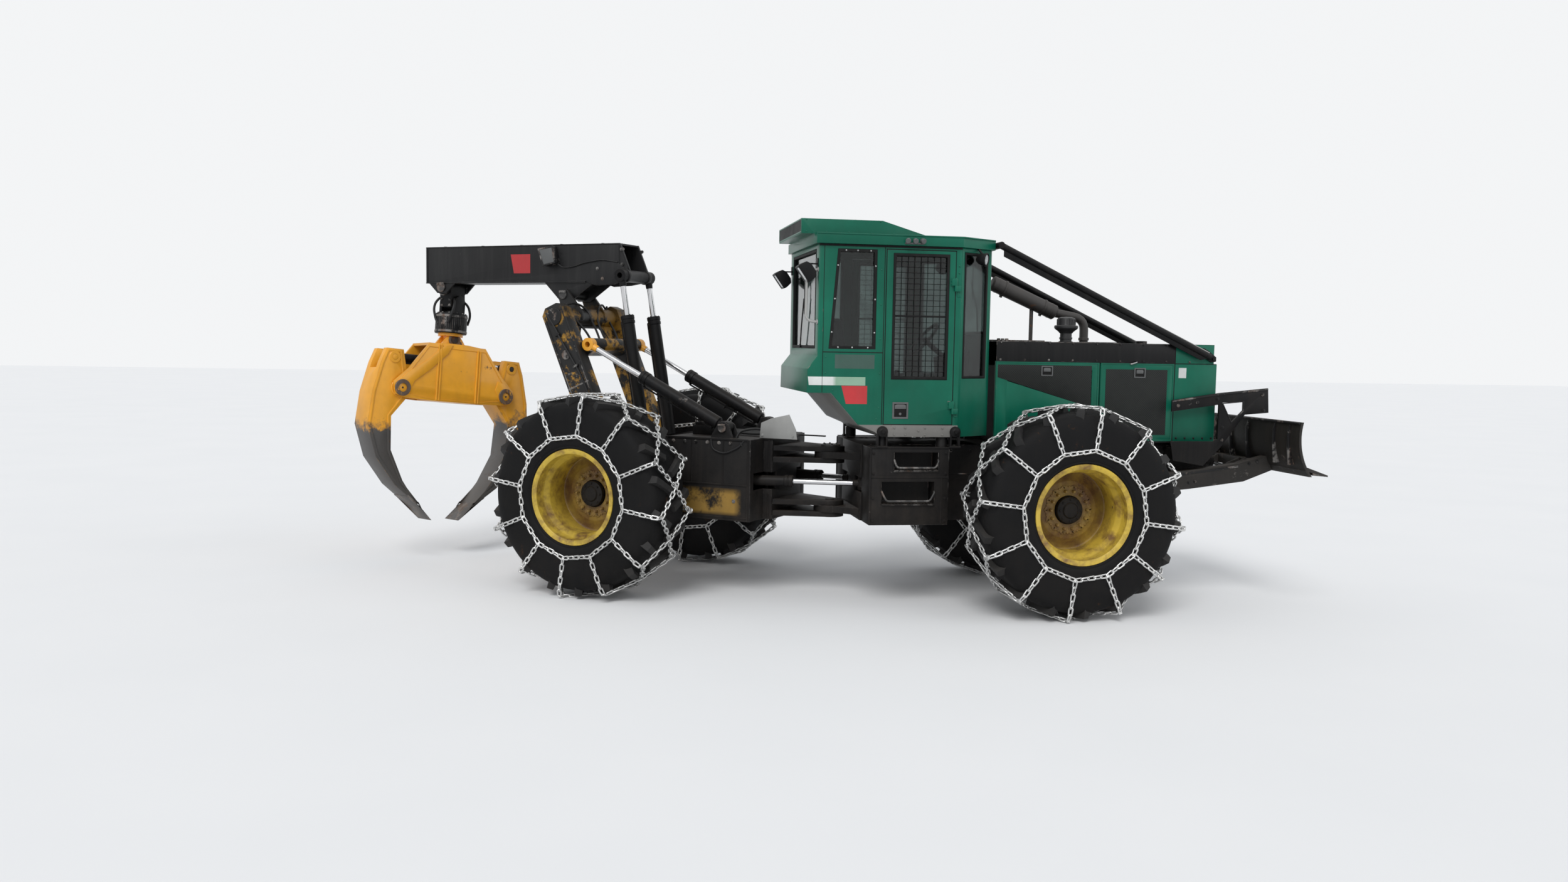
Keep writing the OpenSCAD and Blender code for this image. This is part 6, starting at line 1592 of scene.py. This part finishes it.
def make_frame_details():
    """Seams, ribs, bolts, lines and covers on both frames."""
    plate = [(-579, 1468), (-566, 1613), (-460, 1659), (-281, 1700), (-210, 1560), (-195, 1468)]
    guard = outline(plate, -330, -321, 3)
    edge = block((-580, -334, 1462), (-190, -300, 1474), 3, 1)
    bolts = at_spots(hex_bolt(20, 9, 14), [(x, -330, 1500) for x in (-550, -240)])
    fit_up([guard, bolts], "hose_guard", guard_grey, "rear_frame", "chain_steel")
    rails = boxes([(-1400, -608, 1452, -560, -592, 1474, 4), (-1400, -607, 1040, -566, -599, 1056, 3),
        (-1400, -606, 740, -566, -599, 756, 3), (-570, -606, 725, -556, -590, 1468, 3),
        (-1150, -606, 1052, -1138, -599, 1456, 2), (-820, -606, 1052, -808, -599, 1456, 2),
        (-566, -330, 1454, -480, -312, 1474, 3), (-490, -330, 725, -476, -300, 960, 3),
        (-490, -330, 1200, -476, -300, 1468, 3), (-2420, -606, 1180, -1640, -599, 1192, 2)])
    fit_both(rails + [edge], "rear_frame_ribs", black_paint, "rear_frame")
    spots = [(x, -600, 1430) for x in range(-1340, -580, 120)] + [(x, -600, z) for x in (-2360, -2250)
        for z in (860, 1000, 1140)]
    spots += [(x, -600, z) for x in (-2070, -1810) for z in (1085, 1150)] + [(x, -600, 900)
        for x in (-700, -1280)]
    spots += [(-480, y, z, "X") for y in (-260, 260) for z in (780, 1420)]
    fit_both(at_spots(hex_bolt(24, 12, 18), spots), "rear_frame_bolts", black_edge, "rear_frame")
    pins = [pin_head(-2160, -599, 1260, 74), pin_head(-870, -527, 1560, 40, 10)]
    fit_both(pins, "rear_frame_pins", dusty_edge, "rear_frame")
    lines = []
    for k, y in enumerate((-150, -118, -86, -54)):
        lines.append(pipe([(-1100, y*0.8, 1500 + 5*k), (-700, y, 1492 + 7*k), (-520, y*1.3, 1510 + 6*k),
            (-470, y*1.3, 1440), (-470, y*1.3, 1380)], 12, 90))
    for y in (-448, 448):
        lines.append(pipe([(-760, y, 1470), (-740, y*0.95, 1530), (-640, y*0.75, 1560), (-520, y*0.6, 1540),
            (-468, y*0.55, 1430)], 12, 90))
        lines.append(pipe([(-943, y*1.345, 1462), (-925, y*1.365, 1370), (-800, y*1.365, 1330),
            (-650, y*1.36, 1400), (-600, y*1.345, 1462)], 8, 60))
    fit_up(lines, "rear_hose_lines", hose_rubber, "rear_frame")
    joints = [turned([(0, 24), (15, 24), (15, 6), (19, 4), (19, -2)], "X", 6, (-1080, y, 1500 + 5*k)) for k,
        y in enumerate((-120, -94.4, -68.8, -43.2))]
    valve = [block((-1330, -260, 1469), (-1080, 20, 1560), 8), block((-1310, -250, 1555), (-1100, 10, 1590), 6)]
    valve += [turned([(0, 40), (11, 40), (14, 36), (14, 0)], "Z", 16, (x, -120, 1586))
        for x in range(-1290, -1100, 40)]
    fit_up(joints + valve, "deck_valve", black_paint, "rear_frame")
    tread = copies(block((-14, -3.5, 0), (14, 3.5, 3), 1, 1),
        [shift(x, y, 1469.5) @ Matrix.Rotation(pi/4*(1 if (i + j) % 2 else -1), 4, "Z") for i,
        x in enumerate(range(-1380, -590, 44)) for j, y in enumerate(range(80, 560, 44))])
    fit_up(tread, "deck_tread", black_edge, "rear_frame")
    fit_up(cap(92, 16, spot(0, 0, 1408, "Z"), 6), "hinge_cap", dusty_edge, "rear_frame")
    # Front frame
    welds = boxes([(215, -394, 1442, 3550, -386, 1456, 3), (940, -393, 1180, 1600, -388, 1192, 2)])
    bolts = [(x, -390, 1400) for x in range(1040, 3100, 190)] + [(x, -390, z) for x in (1790, 2070)
        for z in (1130, 1200)]
    bolts += [(x, -590, z) for x, z in ((3150, 1840), (3340, 1870), (3600, 1640), (3540, 1905), (3990, 1950),
        (4010, 1800), (3600, 1520))]
    nose = border([(3586, 1867), (3806, 1887), (3806, 1793), (3686, 1678)], 9, -594, -586, 2)
    trim = outline([(3092, 1886), (3560, 1956), (4045, 2006), (4045, 1990), (3560, 1940), (3092, 1870)], -595,
        -586, 3)
    fit_both(welds + [nose, trim, at_spots(hex_bolt(22, 11, 16), bolts)], "front_frame_trims", black_edge)
    fit_both(pin_head(2640, -584, 1090, 56, 6), "blade_arm_pins", dusty_edge)


def make_arch_details():
    """Bosses, plates, cleats and lines of the arch, in its own axes: forward, left, and up along the legs."""
    pieces = [cap(92, 10, spot(0, -549, 0), 6), ring(128, 88, -560, -548, (0, 0, 0))]
    pieces += [border([(-112, 170), (112, 170), (112, 1470), (-112, 1470)], 10, -553, -548, 2)]
    pieces += boxes([(-125, -552, 330, 125, -547, 346, 2), (-125, -552, 700, 125, -547, 716, 2)])
    tube_ends = [cap(86, 12, spot(0, -549, 1430)), cap(48, 10, spot(-18, -549, 1035))]
    fit_both(pieces + tube_ends, "arch_trims", black_edge, "arch")
    hoses = [pipe([(-80, -545, 1500), (-60, -558, 1440), (-30, -562, 1330), (-10, -562, 1180), (30, -562, 1000),
        (70, -562, 800), (90, -562, 420), (60, -562, 180)], 10, 90),
        pipe([(60, -360, 1545), (40, -330, 1480), (60, -300, 1380), (110, -260, 1230), (120, -240, 1090)], 11,
        70), pipe([(20, -380, 1540), (80, -250, 1560), (100, -120, 1500), (80, -60, 1400), (90, -40, 1250),
        (100, -60, 1080)], 11, 80)]
    fit_both(hoses, "arch_hose_lines", hose_rubber, "arch")
    clips = boxes([(-56, -572, 1240, 0, -548, 1262, 3), (18, -572, 880, 84, -548, 902, 3),
        (56, -572, 430, 118, -548, 452, 3)])
    arch_rim = border([(270*cos(a), 1110 + 270*sin(a)) for a in (pi*i/16 for i in range(17))]
        + [(-270, 1052), (270, 1052)], -14, 8, 20, 3, "X")
    fit_up([both_sides(clips), arch_rim], "arch_clips", black_edge, "arch")


def make_boom_details():
    """The boom's flanges, seams, pins, lamp, blank red patch and its lines."""
    edges = boxes([(-4660, -178, 2924, -2620, -168, 2936, 3), (-4660, -175, 3296, -2215, -168, 3308, 3),
        (-2236, -176, 2925, -2222, -168, 3300, 3), (-4652, -175, 2930, -4640, -168, 3300, 3)])
    edges.append(outline([(-2215, 3305), (-2100, 3035), (-2112, 3030), (-2228, 3300)], -176, -168, 2))
    doubler = outline([(-2620, 2931), (-2540, 3110), (-2260, 3130), (-2160, 3060), (-2150, 2930), (-2300, 2905),
        (-2500, 2898)], -177, -169, 3)
    fit_both(edges + [doubler], "boom_trims", boom_paint, "boom")
    pins = [pin_head(-2860, -222, 2800, 44, 8), pin_head(-4450, -182, 2885, 52, 10)]
    bolts = [(x, -176, 3245) for x in (-2200, -2180)] + [(-2190, -176, 3100), (-2480, -176, 3060),
        (-2420, -176, 2960)]
    fit_both(pins + [at_spots(hex_bolt(24, 11, 17), bolts)], "boom_pins", dusty_edge, "boom")
    patch = outline([(-3545, 3215), (-3300, 3215), (-3300, 3022), (-3505, 3022)], -171, -169.2, 0)
    fit_up(patch, "boom_red_patch", red_patch, "boom", "black_paint")
    lamp = outline([(-3150, 3262), (-2965, 3290), (-2930, 3115), (-3085, 3085)], -250, -168, 8)
    lamp_rim = border([(-3150, 3262), (-2965, 3290), (-2930, 3115), (-3085, 3085)], 16, -257, -248, 3)
    wires = [pipe([(-2950, -200, 3120), (-2900, -180, 3075), (-2780, -178, 3078), (-2640, -178, 3120),
        (-2420, -178, 3150), (-2240, -180, 3120)], 6, 60)]
    wires += [pipe([(-4600, y, 3309), (-3400, y*1.1, 3309), (-2300, y, 3309)], 10, 80, 2) for y in (-40, 0, 40)]
    fit_up(wires, "boom_hose_lines", hose_rubber, "boom")
    clips = copies(block((-14, -62, 3303), (14, 62, 3322), 4, 1),
        [Matrix.Translation((x*MM, 0, 0)) for x in (-4500, -4000, -3500, -3000, -2500)])
    fit_up([lamp, lamp_rim, clips], "boom_lamp", black_edge, "boom")
    fit_up(outline([(-3134, 3250), (-2976, 3273), (-2946, 3124), (-3074, 3101)], -253, -249, 1),
        "boom_lamp_lens", latch_grey, "boom", "window_glass")
    # Hanger and rotator
    fit_both([ring(84, 40, -152, -138, (-4450, 0, 2885)),
        at_spots(hex_bolt(20, 9, 14), [(-4450 + s*52, -110, z) for s in (-1, 1) for z in (2760, 2700)])],
        "hanger_bosses", black_edge, "grapple_hanger")
    lines = [pipe([(-4545, s*90, 2770), (-4580, s*120, 2715), (-4580, s*140, 2640), (-4540, s*150, 2540),
        (-4500, s*150, 2480)], 13, 70) for s in (-1, 1)]
    lines += [pipe([(-4380, s*60, 2760), (-4325, s*110, 2705), (-4320, s*150, 2600), (-4360, s*155, 2500)], 13,
        70) for s in (-1, 1)]
    bolt_ring = [spot(-4450 + 146*cos(a), 146*sin(a), 2600, "Z") for a in angles(12)]
    housing = [copies(hex_bolt(18, 10, 13), bolt_ring),
        turned([(160, 2398), (170, 2400), (170, 2420), (165, 2424), (165, 2560), (170, 2564), (170, 2584),
        (160, 2588)], "Z", 48, (-4450, 0, 0), ring=True)]
    for obj, name, finish, slot in ((joined(lines), "rotator_hose_lines", hose_rubber, "tyre_rubber"),
            (joined(housing), "rotator_trims", black_edge, "black_paint")):
        obj.data.transform(shift(0, 0, 2720) @ ROLLED @ shift(0, 0, -2720))
        fit_up(obj, name, finish, "grapple_rotator", slot, REAR)


def make_grapple_details():
    """Ribs, raised arms and bosses on the grapple's head and tongs, in its own axes from the roll pin."""
    near = -190
    ribs = boxes([(x - 9, near - 12, -1062, x + 9, near + 2, top, 3) for x,
        top in ((-215, -468), (-188, -468), (240, -490), (268, -500))])
    arm = outline([(-690, -985), (-660, -905), (-560, -800), (-330, -640), (-160, -478), (-60, -462),
        (-110, -560), (-300, -745), (-470, -880), (-530, -1010), (-600, -1052)], near - 11, near + 1, 4)
    arm_other = outline([(690, -985), (660, -905), (585, -830), (500, -800), (470, -900), (530, -1010),
        (600, -1052)], near - 9, near + 1, 4)
    seam = border([(-640, -1010), (-630, -930), (-330, -500), (330, -500), (640, -930), (630, -1010),
        (250, -1056), (-250, -1056)], 8, near - 4, near + 1, 2)
    fit_both(ribs + [arm, arm_other, seam], "grapple_head_ribs", amber_paint, "grapple_head")
    bosses = [ring(86, 46, near - 26, near - 8, (s*600, 0, -960), edge=5) for s in (-1, 1)]
    bosses.append(ring(66, 44, -106, -88, (0, 0, -400), edge=4))
    fit_both(bosses, "grapple_bosses", amber_edge, "grapple_head")
    pins = [turned([(0, near - 6), (30, near - 6), (40, near - 9), (44, near - 9), (46, near - 4), (46, near)],
        "Y", 32, (s*600, 0, -960)) for s in (-1, 1)]
    pins += [at_spots(hex_bolt(22, 9, 15), [(s*600, near - 6, -960) for s in (-1, 1)]),
        turned([(0, -104), (36, -104), (41, -100), (41, -88)], "Y", 32, (0, 0, -400))]
    fit_both(pins, "grapple_pins", dark_bore, "grapple_head")
    for sign, label in ((-1, "right"), (1, "left")):
        place = TURNED @ shift(sign*600, 0, -960) @ (SAME if sign < 0 else Matrix.Diagonal((-1, 1, 1, 1)))
        edge = [(-160, 385), (-212, 250), (-285, -60), (-314, -395), (-202, -718), (18, -995), (300, -1215),
            (285, -1190), (80, -965), (-75, -655), (-100, -300), (60, -70), (35, 120), (-10, 385)]
        rim_part = border(edge, 22, -156, -147, 4)
        boss = [ring(100, 47, -158, -146, (0, 0, 0), edge=5), ring(62, 30, -158, -146, (-80, 0, 310), edge=4)]
        fit_both([rim_part] + boss, "tong_edges_" + label, tong_paint, "tong_" + label, place=place)
        head = turned([(0, -157), (8, -157), (10, -155), (24, -155), (28, -153), (28, -146)], "Y", 32,
            (-80, 0, 310))
        fit_both(head, "tong_pins_" + label, dark_bore, "tong_" + label, place=place)
        tip = outline([(445, -1370), (300, -1230), (150, -1125), (170, -1075), (250, -1180)], -153, 153, 5)
        fit_up(tip, "tong_tip_" + label, worn_steel, "tong_" + label, place=place)


def make_blade_details():
    """The blade's ribs and cutting edge, and its arms' trims."""
    ribs = [outline([(4090, 1330), (4025, 1330), (4010, 1480), (4010, 1640), (4028, 1700), (4040, 1600),
        (4060, 1450)], y - 9, y + 9, 3) for y in (-1000, -760, -300, 0, 300, 760, 1000)]
    fit_up(ribs, "blade_ribs", black_edge, "blade")
    wear = [outline([(4182, 1248), (4328, 1236), (4328, 1252), (4180, 1276)], -1148, 1148, 3)]
    wear.append(at_spots(hex_bolt(26, 10, 18), [(4250, y, 1254, Vector((0.1, 0, 1)))
        for y in range(-1050, 1100, 210)]))
    fit_up(wear, "blade_cutting_edge", worn_steel, "blade", "black_paint")
    arms = [outline([(2660, 1150), (3250, 1212), (3790, 1282), (3790, 1262), (3250, 1190), (2660, 1128)], -569,
        -563, 2), ring(84, 60, -572, -564, (2640, 0, 1090)),
        at_spots(hex_bolt(22, 10, 16), [(x, -565, z) for x,
        z in ((3300, 1120), (3360, 1130), (3900, 1300), (3980, 1320))])]
    top = pipe([(4030, -1145, 1716), (4030, 1145, 1716)], 9, 5)
    fit_up([both_sides(arms), top], "blade_trims", black_edge, "blade")


def make_floor():
    """The floor of the studio."""
    deselect()
    bpy.ops.mesh.primitive_plane_add(size=160, location=(0, 0, 0))
    floor = bpy.context.object
    floor.name = "studio_floor"
    floor.data.materials.append(floor_finish())


make_floor()
dress_nodes()
make_wheels()
make_cylinders()
make_axles()
make_window_seals()
make_doors()
make_cab_marks()
make_cab_hardware()
make_roof()
make_steps()
make_seat()
make_dash()
make_hood_details()
make_exhaust()
make_frame_details()
make_arch_details()
make_boom_details()
make_grapple_details()
make_blade_details()
